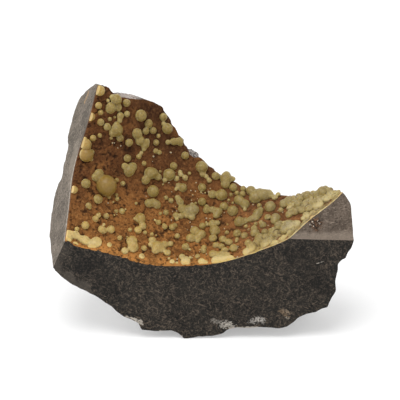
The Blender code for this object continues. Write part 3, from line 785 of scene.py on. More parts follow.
def settled(me, values, passes, weight=None):
    """Values given to a mesh's points, each drawn towards its neighbours', pass by pass."""
    copy = me.copy()
    set_co(copy, values)
    ob = link("settled", copy)
    if weight is not None:
        group = ob.vertex_groups.new(name="w")
        steps = np.round(np.clip(weight, 0, 1) * 40).astype(int)
        for k in range(1, 41):
            some = np.nonzero(steps == k)[0]
            if len(some):
                group.add(some.tolist(), k / 40.0, 'REPLACE')
    while passes > 0:
        m = ob.modifiers.new("s", 'SMOOTH')
        m.factor = 0.75
        m.iterations = min(passes, 30)
        if weight is not None:
            m.vertex_group = "w"
        passes -= 30
    out = evaluated(ob, "settled2")
    got = co_of(out)
    drop_object(ob)
    bpy.data.meshes.remove(out)
    return got

# ------------------------------------------------------------------- the rock
def drop(p):
    return np.array([p[0], 0.0, p[2] + UNDERCUT * p[1]])


def into(normal, point, depth):
    """The same plane, moved a little into the piece."""
    return np.asarray(point, float) - np.asarray(normal, float) * depth


def forms():
    rng = np.random.default_rng(3)
    outline = [drop(p) for p in on_plane(finer(FRONT_BOTTOM[::-1], 3.0, rng, 0.16),
                                         FRONT_N, ORIGIN)]
    outline += [drop(p) for p in on_plane(finer(FRONT_RIGHT[::-1], 3.0, rng, 0.16),
                                          FRONT_N, ORIGIN)]
    outline += [drop(p) for p in on_plane(finer(FACET_OUTER[::-1], 3.0, rng, 0.15)[1:],
                                          FACET_N, FACET_P)]
    outline += [np.array([76.0, 0.0, 100.0]), np.array([80.0, 0.0, 170.0]),
                np.array([-100.0, 0.0, 170.0]), np.array([-100.0, 0.0, 60.0])]
    tidy = [outline[0]]
    for p in outline[1:]:
        if np.linalg.norm(p - tidy[-1]) > 0.05:
            tidy.append(p)
    front = link("front_form", to_mesh("front_form",
                 prism(tidy, (0, 1, -UNDERCUT), -15, 110)))
    side = list(on_plane(finer(LEFT_OUTER, 2.4, rng, 0.26), LEFT_N, LEFT_P))
    corner_line = unit(side[-1] - LEFT_P)
    backward = unit(np.cross([0, 0, 1.0], LEFT_N))
    backward = backward if backward[1] > 0 else -backward
    low_dir = unit(0.85 * corner_line - 0.5 * backward)
    top_dir = unit(side[0] - side[1])
    side = ([side[0] + top_dir * 40 - backward * 10] + side
            + [side[-1] + low_dir * 70, side[-1] + low_dir * 70 - backward * 150,
               side[0] + top_dir * 40 - backward * 150])
    left = link("left_form", to_mesh("left_form", prism(side, unit(LEFT_BACK_RUN), -25, 220)))
    return front, left


LEDGE_ZONE = LEDGE + [(138.5, 96.7), (129.5, 94), (121, 92.5)]
KNOB_ZONE = KNOB + [(198.5, 153.6), (194.7, 150.4), (191, 148.5)]


def rough_stone():
    """The broken stone before it was sawn: forms past every saw cut."""
    rng = np.random.default_rng(11)
    sky = finer(SKYLINE, 3.0, rng, 0.25)
    edge = sky + WALL_SPARE
    q, tris = net(edge, [finer(LEDGE, 3.0), KNOB], 6.0, rng)
    wp, wn = wall(q)
    top = wp.copy()
    a = line_distance(LEDGE, q)
    b = line_distance(SKYLINE[5:10], q)
    share = np.where(inside(LEDGE_ZONE, q) | (b < 0.9), a / (a + b + 0.5), 0.0)
    top += sight(q) * (share * LEDGE_DROP)[:, None]
    cols, rows = q[:, 0], q[:, 1]
    down = np.clip(ramp(cols, 150, 250) + ramp(rows, 140, 215), 0, 1)[:, None]
    back = wp + sight(q) * (BACK_THICKNESS + 9 * ramp(cols, 85, 175))[:, None]
    spread = np.stack([(wp[:, 0] - 5) / 160, (wp[:, 1] - 30) / 130,
                       -np.ones(len(wp))], axis=1)
    low = wp + spread * (wp[:, 2:] + 12.0)
    me, used = slab_mesh("rough", tris, top, back * (1 - down) + low * down)
    ob = link("rough", me)
    front, left = forms()
    for tool in (front, left):
        m = ob.modifiers.new("b", 'BOOLEAN')
        m.operation = 'INTERSECT'
        m.solver = 'EXACT'
        m.object = tool
    first = evaluated(ob, "rough1")
    for o in (front, left, ob):
        drop_object(o)
    return first


def scallops(co, size, lean, bowl, seed):
    """Shell-shaped breaks: shallow bowls that meet in crisp ridges, as heights."""
    warp = np.stack([fbm(co, size * 1.3, 2, 0.5, seed + k) for k in range(3)], 1)
    p = co / size + 0.16 * warp
    i = np.floor(p).astype(np.int64)
    best = np.full(len(p), -9.0)
    for off in np.ndindex(3, 3, 3):
        c = i + (np.array(off) - 1)
        h = _hash(c[:, 0], c[:, 1], c[:, 2], seed)
        bits = [((h >> (5 * k)) & 31) / 31.0 - 0.5 for k in range(6)]
        d = p - (c + 0.5 + 0.9 * np.stack(bits[:3], 1))
        tilt = (np.stack(bits[3:], 1) * 2.0 * d).sum(1)
        best = np.maximum(best, 0.35 * bits[0] + lean * tilt - bowl * (d * d).sum(1))
    return best * size


def breaks(co):
    """How far the fracture lies under the stone's outer form, 0 to about 7 mm."""
    big = scallops(co, 34.0, 0.16, 0.16, 3)
    mid = scallops(co, 13.0, 0.12, 0.14, 9)
    small = scallops(co, 5.0, 0.10, 0.11, 15)
    roll = 1.2 * fbm(co, 45.0, 2, 0.5, 1)
    return np.clip(2.7 + 0.9 * big + 1.1 * mid + 0.65 * small + roll, 0.0, 8.0)


def rim_bite(q, wp):
    """How far the rock stands up into the lining along the front rim, in mm."""
    near = (1 - ramp(line_distance(FRONT_RIM, q), 2.0, 6.0)) * (1 - ramp(q[:, 0], 185, 220))
    return 0.80 * near * ramp(fbm(wp, 4.6, 4, 0.70, 97), 0.0, 0.55)


def stone():
    first = rough_stone()
    ob = link("first", first)
    m = ob.modifiers.new("r", 'REMESH')
    m.mode = 'VOXEL'
    m.voxel_size = 0.85
    m.adaptivity = 0.0
    me = evaluated(ob, "fine")
    drop_object(ob)
    co = co_of(me)
    # depth behind the bubble's wall, along the line of sight
    rel = co - EYE
    dist = np.linalg.norm(rel, axis=1)
    d = rel / dist[:, None]
    back_to_sheet = ((SHEET - EYE) @ TO_EYE) / (d @ TO_EYE)
    on_sheet = EYE + d * back_to_sheet[:, None] - SHEET
    q = np.stack([200 + on_sheet[:, 0] / SQUARE, 200 - (on_sheet @ SHEET_UP) / SQUARE], 1)
    wp, wn = wall(q)
    depth = ((co - wp) * d).sum(1)
    beside = inside(HOLLOW, q) | (line_distance(list(HOLLOW) + [HOLLOW[0]], q) < 8)
    onwall = inside(SKYLINE + WALL_SPARE, q) & beside
    bare = inside(LEDGE_ZONE, q) | inside(KNOB_ZONE, q)
    free = np.where(onwall, ramp(np.abs(depth), 0.4, 3.0), 1.0)
    free = np.where(bare, 0.45, free)
    calm = np.minimum(ramp(co[:, 1], 0.0, 17.0),
                      ramp(-((co - LEFT_P) @ LEFT_N), 0.0, 14.0))
    bevel = -((co - FACET_P) @ FACET_N)
    calm = np.where(co[:, 0] > 25.0, np.minimum(calm, ramp(bevel, 0.0, 17.0)), calm)
    calm *= 1 - 0.40 * ramp(co[:, 0], 45.0, 66.0)
    calm = np.minimum(calm, 0.5 + 0.5 * ramp(co[:, 2], 1.0, 9.0))
    calm = np.where(beside, np.minimum(calm, 0.3 + 0.7 * ramp(np.abs(depth), 1.0, 9.0)), calm)
    lip = on_plane([(343, 192)], FACET_N, FACET_P)[0]
    calm = np.minimum(calm, ramp(np.linalg.norm(co - lip, axis=1), 5.0, 20.0))
    share = np.where(bare & (depth < 16.0), 0.0, calm) * free
    share = np.minimum(share, settled(me, np.repeat(share[:, None], 3, 1), 30)[:, 0])
    fall = breaks(co) * share
    fine = np.where(bare, 0.55 * fbm(co, 3.0, 3, 0.6, 31),
                    (0.10 + 0.25 * calm) * fbm(co, 5.0, 4, 0.6, 21)) * free
    # the sawn form's small ridges are worn off before it is broken
    away = np.minimum(ramp(co[:, 1], 1.5, 9.0), ramp(-((co - LEFT_P) @ LEFT_N), 1.5, 9.0))
    away = np.where(co[:, 0] > 25.0, np.minimum(away, ramp(bevel, 1.5, 9.0)), away)
    rim = onwall | (line_distance(SKYLINE, q) < 12)
    away = np.where(rim, np.minimum(away, ramp(depth, 8.5, 13.0)), away)
    co = settled(me, co, 70, away)
    set_co(me, co)
    fall *= 0.55 + 0.45 * away
    for _ in range(6):
        nor = settled(me, normals_of(me), 18)
        nor /= np.maximum(np.linalg.norm(nor, axis=1), 1e-6)[:, None]
        co = co - nor * (fall / 6)[:, None]
        set_co(me, co)
        co = settled(me, co, 1, 0.5 * ramp(fall, 0.2, 2.0))
        set_co(me, co)
    # thin fins left standing between two breaks are worn down
    fin = ramp(np.linalg.norm(settled(me, co, 20) - co, axis=1), 0.8, 1.4) * away
    fin = np.minimum(1.0, 2.5 * settled(me, np.repeat(fin[:, None], 3, 1), 6)[:, 0])
    co = settled(me, co, 45, fin)
    set_co(me, co)
    for knob in ((66.5, 22.0, 39.0), (59.5, 32.5, 9.0), (55.0, 37.8, 3.0)):
        near = 1 - ramp(np.linalg.norm(co - knob, axis=1), 4.0, 10.0)
        co = settled(me, co, 90, near)
        set_co(me, co)
    nor = settled(me, normals_of(me), 2)
    skin = np.where(onwall, 1 - ramp(np.abs(depth), 0.4, 1.4), 0.0)
    co = co + nor * fine[:, None] + wn * (skin * rim_bite(q, wp))[:, None]
    set_co(me, co)
    bm = bmesh.new()
    bm.from_mesh(me)
    bpy.data.meshes.remove(me)
    saw(bm, FRONT_N, into(FRONT_N, ORIGIN, 0.04), 0.62, seed=1)
    saw(bm, LEFT_N, into(LEFT_N, LEFT_P, 0.04), 0.7, seed=2)
    saw(bm, FACET_N, into(FACET_N, FACET_P, 0.04), 0.62, only=lambda c: c.x > 25.0, seed=3)
    saw(bm, (0, 0, -1), (0, 0, 0.0), 2.5, only=lambda c: c.z < 20.0, seed=4)
    for _ in range(4):
        bad = {v for e in bm.edges if not e.is_manifold for v in e.verts}
        if not bad:
            break
        bmesh.ops.remove_doubles(bm, verts=list(bad), dist=0.04)
        bmesh.ops.delete(bm, geom=[e for e in bm.edges if e.is_wire], context='EDGES')
        gaps = [e for e in bm.edges if e.is_boundary]
        if gaps:
            bmesh.ops.holes_fill(bm, edges=gaps, sides=0)
    close_up(bm)
    return to_mesh("rock", bm, fix=False)

# ----------------------------------------------------------------- the lining
RIMS = [LEFT_RIM, FRONT_RIM, FACET_RIM]
HOLLOW = SKYLINE + FACET_RIM[::-1] + FRONT_RIM[::-1] + LEFT_RIM


def put(me, name, values):
    a = me.attributes.new(name, "FLOAT", "POINT")
    a.data.foreach_set("value", np.asarray(values, np.float32))


def sheet_squares(p):
    """Squares on the layout sheet of points in the piece, and their sight lines."""
    rel = p - EYE
    d = rel / np.linalg.norm(rel, axis=1)[:, None]
    s = EYE + d * (((SHEET - EYE) @ TO_EYE) / (d @ TO_EYE))[:, None] - SHEET
    return np.stack([200 + s[:, 0] / SQUARE, 200 - (s @ SHEET_UP) / SQUARE], 1), d


def grainy(q):
    """How drusy the crust is: rough in the left and middle, smooth at top right."""
    a = 1.0 - ramp(q[:, 0] + 0.45 * (150 - q[:, 1]), 118, 165) * (1 - ramp(q[:, 1], 165, 215))
    return np.clip(0.30 + 0.70 * a, 0, 1) * (1 - 0.45 * ramp(q[:, 0], 215, 260))


def relief(q, wp):
    """Height of the crust over its mean level, in mm, and how deep its pits are."""
    g = grainy(q)
    near, _, tag = cells(wp / 0.95, 41)
    size = 0.55 + 0.45 * ((tag & 255) / 255.0)
    grain = (0.55 - near) * 0.40 * size
    mottle = fbm(wp, 5.2, 4, 0.72, 43)
    crumb = fbm(wp, 1.9, 3, 0.65, 47)
    pit_depth_and_shade = ramp(-(0.60 * mottle + 0.80 * crumb), 0.16 - 0.10 * g, 0.55)
    roll = 0.30 * fbm(wp, 11.0, 3, 0.5, 51)
    return grain * g + 0.12 * crumb * g + roll - 0.45 * pit_depth_and_shade * g, pit_depth_and_shade * g


def crust_level(q):
    """How thick the lining is: a skin at the right rims, elsewhere over a millimetre."""
    rim = np.minimum(line_distance(FRONT_RIM[12:], q), line_distance(FACET_RIM, q))
    return CRUST_TOP * (1 - 0.88 * ramp(q[:, 0], 195, 232) * (1 - ramp(rim, 3, 13)))


def main_body(tris, n):
    """The triangles of the largest connected sheet among them."""
    mark = np.arange(n)
    while True:
        low = mark[tris].min(1)
        new = mark.copy()
        for k in range(3):
            np.minimum.at(new, tris[:, k], low)
        new = new[new]
        if (new == mark).all():
            break
        mark = new
    first = mark[tris[:, 0]]
    return tris[first == np.bincount(first).argmax()]


def lining():
    rng = np.random.default_rng(21)
    sky = finer(SKYLINE, 1.6, rng, 0.20)
    poly = sky + WALL_SPARE
    step = 0.86
    pts_lines = [finer(LEDGE, 1.6, rng, 0.12), finer(KNOB, 1.6, rng, 0.2)]
    x0, y0 = np.min(poly, axis=0)
    x1, y1 = np.max(poly, axis=0)
    gx, gy = np.meshgrid(np.arange(x0, x1, step), np.arange(y0, y1, step * 0.87))
    gx = gx + (np.arange(gx.shape[0]) % 2)[:, None] * step / 2
    fill = np.stack([gx.ravel(), gy.ravel()], 1)
    fill = fill + rng.uniform(-1, 1, fill.shape) * step * 0.22
    fill = fill[inside(poly, fill)]
    rim = np.minimum.reduce([line_distance(r, fill) for r in RIMS])
    fill = fill[inside(HOLLOW, fill) | (rim < 6.0)]
    fill = fill[line_distance(sky, fill) > 0.5]
    for chain in pts_lines:
        fill = fill[line_distance(chain, fill) > 0.5]
    pts = [tuple(map(float, p)) for p in poly]
    lines = [(i, (i + 1) % len(pts)) for i in range(len(pts))]
    index = {p: i for i, p in enumerate(pts)}
    for chain in pts_lines:
        ids = []
        for p in chain:
            p = tuple(map(float, p))
            if p not in index:
                index[p] = len(pts)
                pts.append(p)
            ids.append(index[p])
        lines += list(zip(ids, ids[1:]))
    pts += [tuple(p) for p in fill]
    out = geometry.delaunay_2d_cdt([Vector(v) for v in pts], lines, [], 0, 1e-6)
    q = np.array([tuple(v) for v in out[0]])
    tris = np.array(out[2])
    mid = q[tris].mean(1)
    keep = inside(poly, mid) & ~inside(LEDGE_ZONE, mid) & ~inside(KNOB_ZONE, mid)
    tris = main_body(tris[keep], len(q))
    wp, wn = wall(q)
    h, pit_depth_and_shade = relief(q, wp)
    edge = np.minimum(line_distance(sky, q), 6.0)
    thin = 0.55 + 0.45 * ramp(edge, 0.0, 4.0)
    level = crust_level(q)
    chip = (1 - ramp(line_distance(FRONT_RIM[:13], q), 1.5, 5.0))
    level = level * (1 - chip * ramp(fbm(wp, 5.0, 3, 0.6, 91), 0.02, 0.40) * 0.85)
    h = h * (1 - 0.6 * chip) * np.clip(level / CRUST_TOP, 0.12, 1.0)
    high = np.maximum(level * thin + h * (0.4 + 0.6 * ramp(edge, 0, 2)), 0.08)
    bite = rim_bite(q, wp)
    high = np.maximum(high, bite + 0.08)
    top = wp + wn * high[:, None]
    me, used = slab_mesh("ochre", tris, top, wp + wn * (bite + 0.02)[:, None])
    # The pit depth also sets where painted shade darkens the crust.
    put(me, "pit_depth_and_shade", np.concatenate([pit_depth_and_shade[used], pit_depth_and_shade[used] * 0]))
    bm = bmesh.new()
    bm.from_mesh(me)
    bpy.data.meshes.remove(me)
    saw(bm, FRONT_N, into(FRONT_N, ORIGIN, 0.02), 0.0)
    saw(bm, LEFT_N, into(LEFT_N, LEFT_P, 0.02), 0.0)
    saw(bm, FACET_N, into(FACET_N, FACET_P, 0.02), 0.0, only=lambda c: c.x > 25.0)
    bmesh.ops.triangulate(bm, faces=[f for f in bm.faces if len(f.verts) > 3])
    me = to_mesh("ochre_crust", bm, fix=False)
    co = co_of(me)
    qq, _ = sheet_squares(co)
    # warmth_and_shade: a warmer, lighter ochre lower down, made darker along the left rim, where
    # shade is painted into the lining.
    warmth_and_shade = ramp(qq[:, 1] - 0.10 * (qq[:, 0] - 100), 150, 245)
    rim_x = np.interp(qq[:, 1], [p[1] for p in LEFT_RIM[::-1]], [p[0] for p in LEFT_RIM[::-1]])
    shade = (1 - ramp(qq[:, 0] - rim_x, 10, 34)) * (1 - ramp(qq[:, 1], 216, 236))
    warmth_and_shade = np.clip(warmth_and_shade - 0.28 * shade + 0.16 * fbm(co, 18, 3, 0.6, 61)
                   + 0.10 * (1 - ramp(qq[:, 1], 110, 150)), 0, 1)
    rim_r = np.minimum(line_distance(FRONT_RIM[12:], qq), line_distance(FACET_RIM, qq))
    wide = 1 + 1.2 * ramp(qq[:, 0], 285, 305)
    put(me, "skin", (1 - ramp(rim_r / wide, 0.4, 1.5)) * ramp(qq[:, 0], 222, 236))
    # dim: painted shade over the upper part of the lining, and on a spot below the end of the
    # ledge.
    dim = ramp(qq[:, 0] - 0.4 * (qq[:, 1] - 110), 110, 160) * (1 - ramp(qq[:, 1], 120, 175))
    put(me, "dim", np.maximum(dim, 1 - ramp(np.hypot(qq[:, 0] - 152, qq[:, 1] - 108), 8, 16)))
    # painted_front_light: painted light on the lining along the front rim, where the hollow's
    # floor faces up.
    rim_d = line_distance(FRONT_RIM, qq)
    painted_front_light = (1 - ramp(rim_d, 2, 14)) * (1 - ramp(qq[:, 0], 205, 240))
    put(me, "warmth_and_shade", warmth_and_shade)
    put(me, "painted_front_light", painted_front_light)
    put(me, "rose", ramp(qq[:, 0] + 0.2 * (qq[:, 1] - 200), 205, 265))
    return me

# ---------------------------------------------------------------- the calcite
def ball_place(col, row, rad, sink=BALL_SINK):
    """Centre and radius of a ball that fills its circle on the sheet."""
    p, n = wall([(col, row)])
    d = sight([(col, row)])[0]
    facing = max(-(n[0] @ d), 0.35)
    scale = np.linalg.norm(p[0] - EYE) / STATION_DISTANCE
    r = rad * SQUARE * scale
    lift = (crust_level(np.array([[col, row]]))[0] + 0.08 + sink * r) / facing
    return p[0] - d * lift, r * (1 - lift / STATION_DISTANCE)


_spheres = {}


def sphere(level):
    if level not in _spheres:
        bm = bmesh.new()
        bmesh.ops.create_icosphere(bm, subdivisions=level, radius=1.0)
        bm.verts.ensure_lookup_table()
        _spheres[level] = (np.array([v.co[:] for v in bm.verts]),
                           np.array([[v.index for v in f.verts] for f in bm.faces]))
        bm.free()
    return _spheres[level]


def join_arrays(parts):
    vs, fs, n = [], [], 0
    for v, f in parts:
        vs.append(v)
        fs.append(f + n)
        n += len(v)
    return np.concatenate(vs), np.concatenate(fs)


def mesh_of(name, v, f):
    me = bpy.data.meshes.new(name)
    me.from_pydata(v.tolist(), [], f.tolist())
    me.update()
    return me


def melt(co, centres, radii, k):
    """Carries points onto the common face of balls that have run together."""
    for _ in range(3):
        d = co[:, None] - centres[None]
        dist = np.linalg.norm(d, axis=2)
        f = dist - radii
        least = f.min(1, keepdims=True)
        w = np.exp(-(f - least) / k)
        total = w.sum(1, keepdims=True)
        g = (d / dist[..., None] * (w / total)[..., None]).sum(1)
        value = least[:, 0] - k * np.log(total[:, 0])
        co = co - g * (value / np.maximum((g * g).sum(1), 0.3))[:, None]
    return co


def seat(co, sink=0.50):
    """Flattens what lies under the crust's face, and thins balls at the right rim."""
    q, _ = sheet_squares(co)
    wp, wn = wall(q)
    h = ((co - wp) * wn).sum(1)
    level = crust_level(q)
    low = np.maximum(level - sink, 0.06)
    near = np.minimum(co[:, 1], -((co - FACET_P) @ FACET_N) + 200 * (co[:, 0] < 25))
    thin = 0.42 - 0.20 * ramp(q[:, 0], 200, 235)
    keep = thin + (1 - thin) * ramp(near, 0.2, 4.0)
    new = np.where(h < low, low, low + (h - low) * keep)
    return co + wn * (new - h)[:, None], new - level, q


def grow(balls, seed, fine, k=None):
    """One merged cluster: balls run together, their creases softened."""
    placed = [ball_place(*b) for b in balls]
    centres = np.array([p[0] for p in placed])
    radii = np.array([p[1] for p in placed])
    parts = []
    for c, r in placed:
        v, f = sphere(4 if r > 1.2 else 3)
        parts.append((v * r * (1.03 if len(placed) > 1 else 1.0) + c, f))
    big = radii.max()
    if k is None:
        k = float(np.clip(0.26 * np.median(radii), 0.12, 0.55))
    if len(placed) > 1:
        radii = radii - 0.30 * k
    if len(parts) > 1:
        me = mesh_of("c", *join_arrays(parts))
        ob = link("c", me)
        m = ob.modifiers.new("r", 'REMESH')
        m.mode = 'VOXEL'
        m.voxel_size = fine
        me = evaluated(ob, "c2")
        drop_object(ob)
        co = melt(co_of(me), centres, radii, k)
        set_co(me, co)
    else:
        me = mesh_of("c", *parts[0])
    co, nor = co_of(me), normals_of(me)
    local = np.minimum(big, 3.0)
    lump = 0.045 * local * fbm(co + seed * 3.1, 1.1 * local + 0.3, 2, 0.5, 71)
    skin = 0.018 * fbm(co, 0.7, 2, 0.6, 73)
    near = cells(co / 1.25, 75)[0]
    knobs = 0.055 * local * (0.30 - near ** 2)
    co = co + nor * (lump + skin + knobs)[:, None]
    ring = (np.linalg.norm(co[:, None] - centres[None], axis=2) / radii).min(1)
    co, h, q = seat(co)
    set_co(me, co)
    hollow = np.zeros(len(co))
    if len(placed) > 1:
        edges = edges_of(me)
        hollow = ((blurred(co, edges, 2) - co) * normals_of(me)).sum(1)
        hollow = ramp(blurred(hollow, edges, 2) / fine ** 2, 0.06, 0.50)
    # The crease mask sets where painted shade darkens the folds between balls.
    put(me, "crease", hollow)
    # rise sets the painted shade at each ball's base and the painted light and rim glow above it.
    put(me, "rise", np.clip(h / max(1.25 * min(big, 2.6), 0.5), 0, 1))
    put(me, "ring", ring)
    return me, co


def buff_and_painted_light(q):
    """Balls along the left rim and over the lower left are a honey colour: partly their own,
    partly painted light where they are brightly lit.
    """
    rim = np.interp(q[:, 1], [p[1] for p in LEFT_RIM[::-1]], [p[0] for p in LEFT_RIM[::-1]])
    a = 1 - ramp(q[:, 0] - rim, 5, 14)
    b = ramp(q[:, 1] + 0.15 * (100 - q[:, 0]), 190, 228) * (1 - 0.55 * ramp(q[:, 0], 135, 185))
    return np.clip(np.maximum(a, b * (1 - ramp(q[:, 0], 245, 275))), 0, 1)


def amber(q):
    """The biggest ball and the lower of the pair at the left edge are a deep amber."""
    a = 1 - ramp(np.hypot(q[:, 0] - 107, q[:, 1] - 187), 9, 16)
    b = 1 - ramp(np.hypot((q[:, 0] - 87) * 1.2, q[:, 1] - 155.5), 6, 9.5)
    c = (1 - ramp(q[:, 1], 146, 152)) * (1 - ramp(q[:, 0], 98, 104))
    return np.maximum.reduce([0.85 * a, b, 0.45 * c])


def on_saw(co):
    """Which points lie in one of the saw planes."""
    on = np.abs(co @ FRONT_N) < 0.01
    on |= np.abs((co - LEFT_P) @ LEFT_N) < 0.01
    return on | ((np.abs((co - FACET_P) @ FACET_N) < 0.01) & (co[:, 0] > 25))


def trim(me, co):
    """Cuts a cluster off flush where it reaches past a saw plane."""
    todo = []
    if (co @ FRONT_N).max() > 0:
        todo.append((FRONT_N, ORIGIN))
    if ((co - LEFT_P) @ LEFT_N).max() > 0:
        todo.append((LEFT_N, LEFT_P))
    if co[:, 0].min() > 10 and ((co - FACET_P) @ FACET_N).max() > 0:
        todo.append((FACET_N, FACET_P))
    if not todo:
        return True
    bm = bmesh.new()
    bm.from_mesh(me)
    for n, p in todo:
        saw(bm, n, p, 0.35)
    close_up(bm)
    bmesh.ops.triangulate(bm, faces=[f for f in bm.faces if len(f.verts) > 4])
    ok = len(bm.faces) > 20
    bm.to_mesh(me)
    bm.free()
    me.update()
    return ok


def crusted():
    """The clusters, with those of each lumpy crust joined and filled in between."""
    rng = np.random.default_rng(77)
    groups = [list(c) for c in CLUSTERS]
    for poly in CRUSTS:
        inner = [g for g in groups if inside(poly, np.array([b[:2] for b in g])).any()]
        groups = [g for g in groups if g not in inner]
        merged = sum(inner, [])
        lo, hi = np.min(poly, 0), np.max(poly, 0)
        for y in np.arange(lo[1], hi[1], 3.1):
            for x in np.arange(lo[0], hi[0], 3.6):
                p = np.array([x, y]) + rng.uniform(-1.1, 1.1, 2)
                r = rng.uniform(2.6, 3.9)
                if inside(poly, p[None])[0]:
                    merged.append((p[0], p[1], r, rng.uniform(-0.75, -0.35)))
        groups.append(merged)
    return groups


def with_tone(me, tone, white=0.0):
    co = co_of(me)
    q = sheet_squares(co)[0]
    put(me, "buff_and_painted_light", buff_and_painted_light(q))
    put(me, "amber", amber(q))
    pale = 1 - ramp(np.hypot(q[:, 0] - 193, q[:, 1] - 210), 5, 9)
    put(me, "cream", np.maximum(ramp(q[:, 0], 225, 290), pale))
    put(me, "lit", (1 - ramp(line_distance(FRONT_RIM, q), 1.5, 9.0)) * ramp(q[:, 0], 135, 165)
        * (1 - 0.6 * ramp(q[:, 0], 235, 262)))
    put(me, "tone", np.full(len(co), tone))
    put(me, "white", np.full(len(co), white))
    put(me, "cut", on_saw(co).astype(float))


def specks(rng):
    """Tiny white crystals scattered on the lining."""
    spots = [(x, y, rng.uniform(0.7, 1.2)) for x, y in SPECKS]
    for x, y, n, spread in SPECK_FIELDS:
        for _ in range((n + 1) // 2):
            dx, dy = rng.normal(0, spread, 2)
            spots.append((x + dx, y + dy, rng.uniform(0.35, 0.85)))
    parts = []
    taken = [b for g in CLUSTERS for b in g]
    for x, y, r in spots:
        if not inside(HOLLOW, np.array([[x, y]]))[0]:
            continue
        if min(line_distance(rim, np.array([[x, y]]))[0] for rim in RIMS) < 1.5:
            continue
        if any(math.hypot(b[0] - x, b[1] - y) < b[2] * 0.9 for b in taken):
            continue
        c, rad = ball_place(x, y, r, 0.25)
        v, f = sphere(2)
        turn = np.array(Matrix.Rotation(rng.uniform(0, 6.28), 3,
                                        Vector(rng.normal(size=3)).normalized()))
        facet = np.sign(v) * np.abs(v) ** 0.8
        grain = facet * rng.uniform(0.75, 1.15, 3)
        parts.append((grain @ turn.T * rad + c, f))
    v, f = join_arrays(parts)
    me = mesh_of("specks", v, f)
    n = len(v)
    put(me, "rise", np.full(n, 1.0))
    put(me, "ring", np.full(n, 1.0))
    put(me, "crease", np.zeros(n))
    with_tone(me, 0.5, 1.0)
    return me


def calcite():
    """The clusters that stand for solids, and the rest."""
    groups = crusted()
    solid_of = {}
    for k, (x, y) in enumerate(SOLIDS):
        best = min(((math.hypot(b[0] - x, b[1] - y), i) for i, c in enumerate(groups)
                    for b in c if len(b) == 3))
        solid_of.setdefault(best[1], []).append("calcite_%02d" % (k + 1))
    rng = np.random.default_rng(55)
    pieces, loose = [], []
    for i, group in enumerate(groups):
        names = solid_of.get(i)
        sharp = any(abs(b[1] - 139.4) < 0.01 for b in group)
        me, co = grow(group, 100 + i, 0.27, 0.09 if sharp else
                      (0.24 if len(group) > 40 else None))
        tone = rng.uniform(0, 0.4) + 0.6 * float(ramp(max(b[2] for b in group), 4.2, 2.2))
        if not trim(me, co):
            continue
        with_tone(me, tone)
        if names:
            pieces.append((me, names))
        else:
            loose.append(me)
    return pieces, loose, specks(rng)

# ------------------------------------------------------------------ materials
def place(col, row, normal=FRONT_N, point=ORIGIN):
    """A square on a saw plane, as a point of the finished piece, in metres."""
    return tuple((on_plane([(col, row)], normal, point)[0] + SHIFT) * MM)


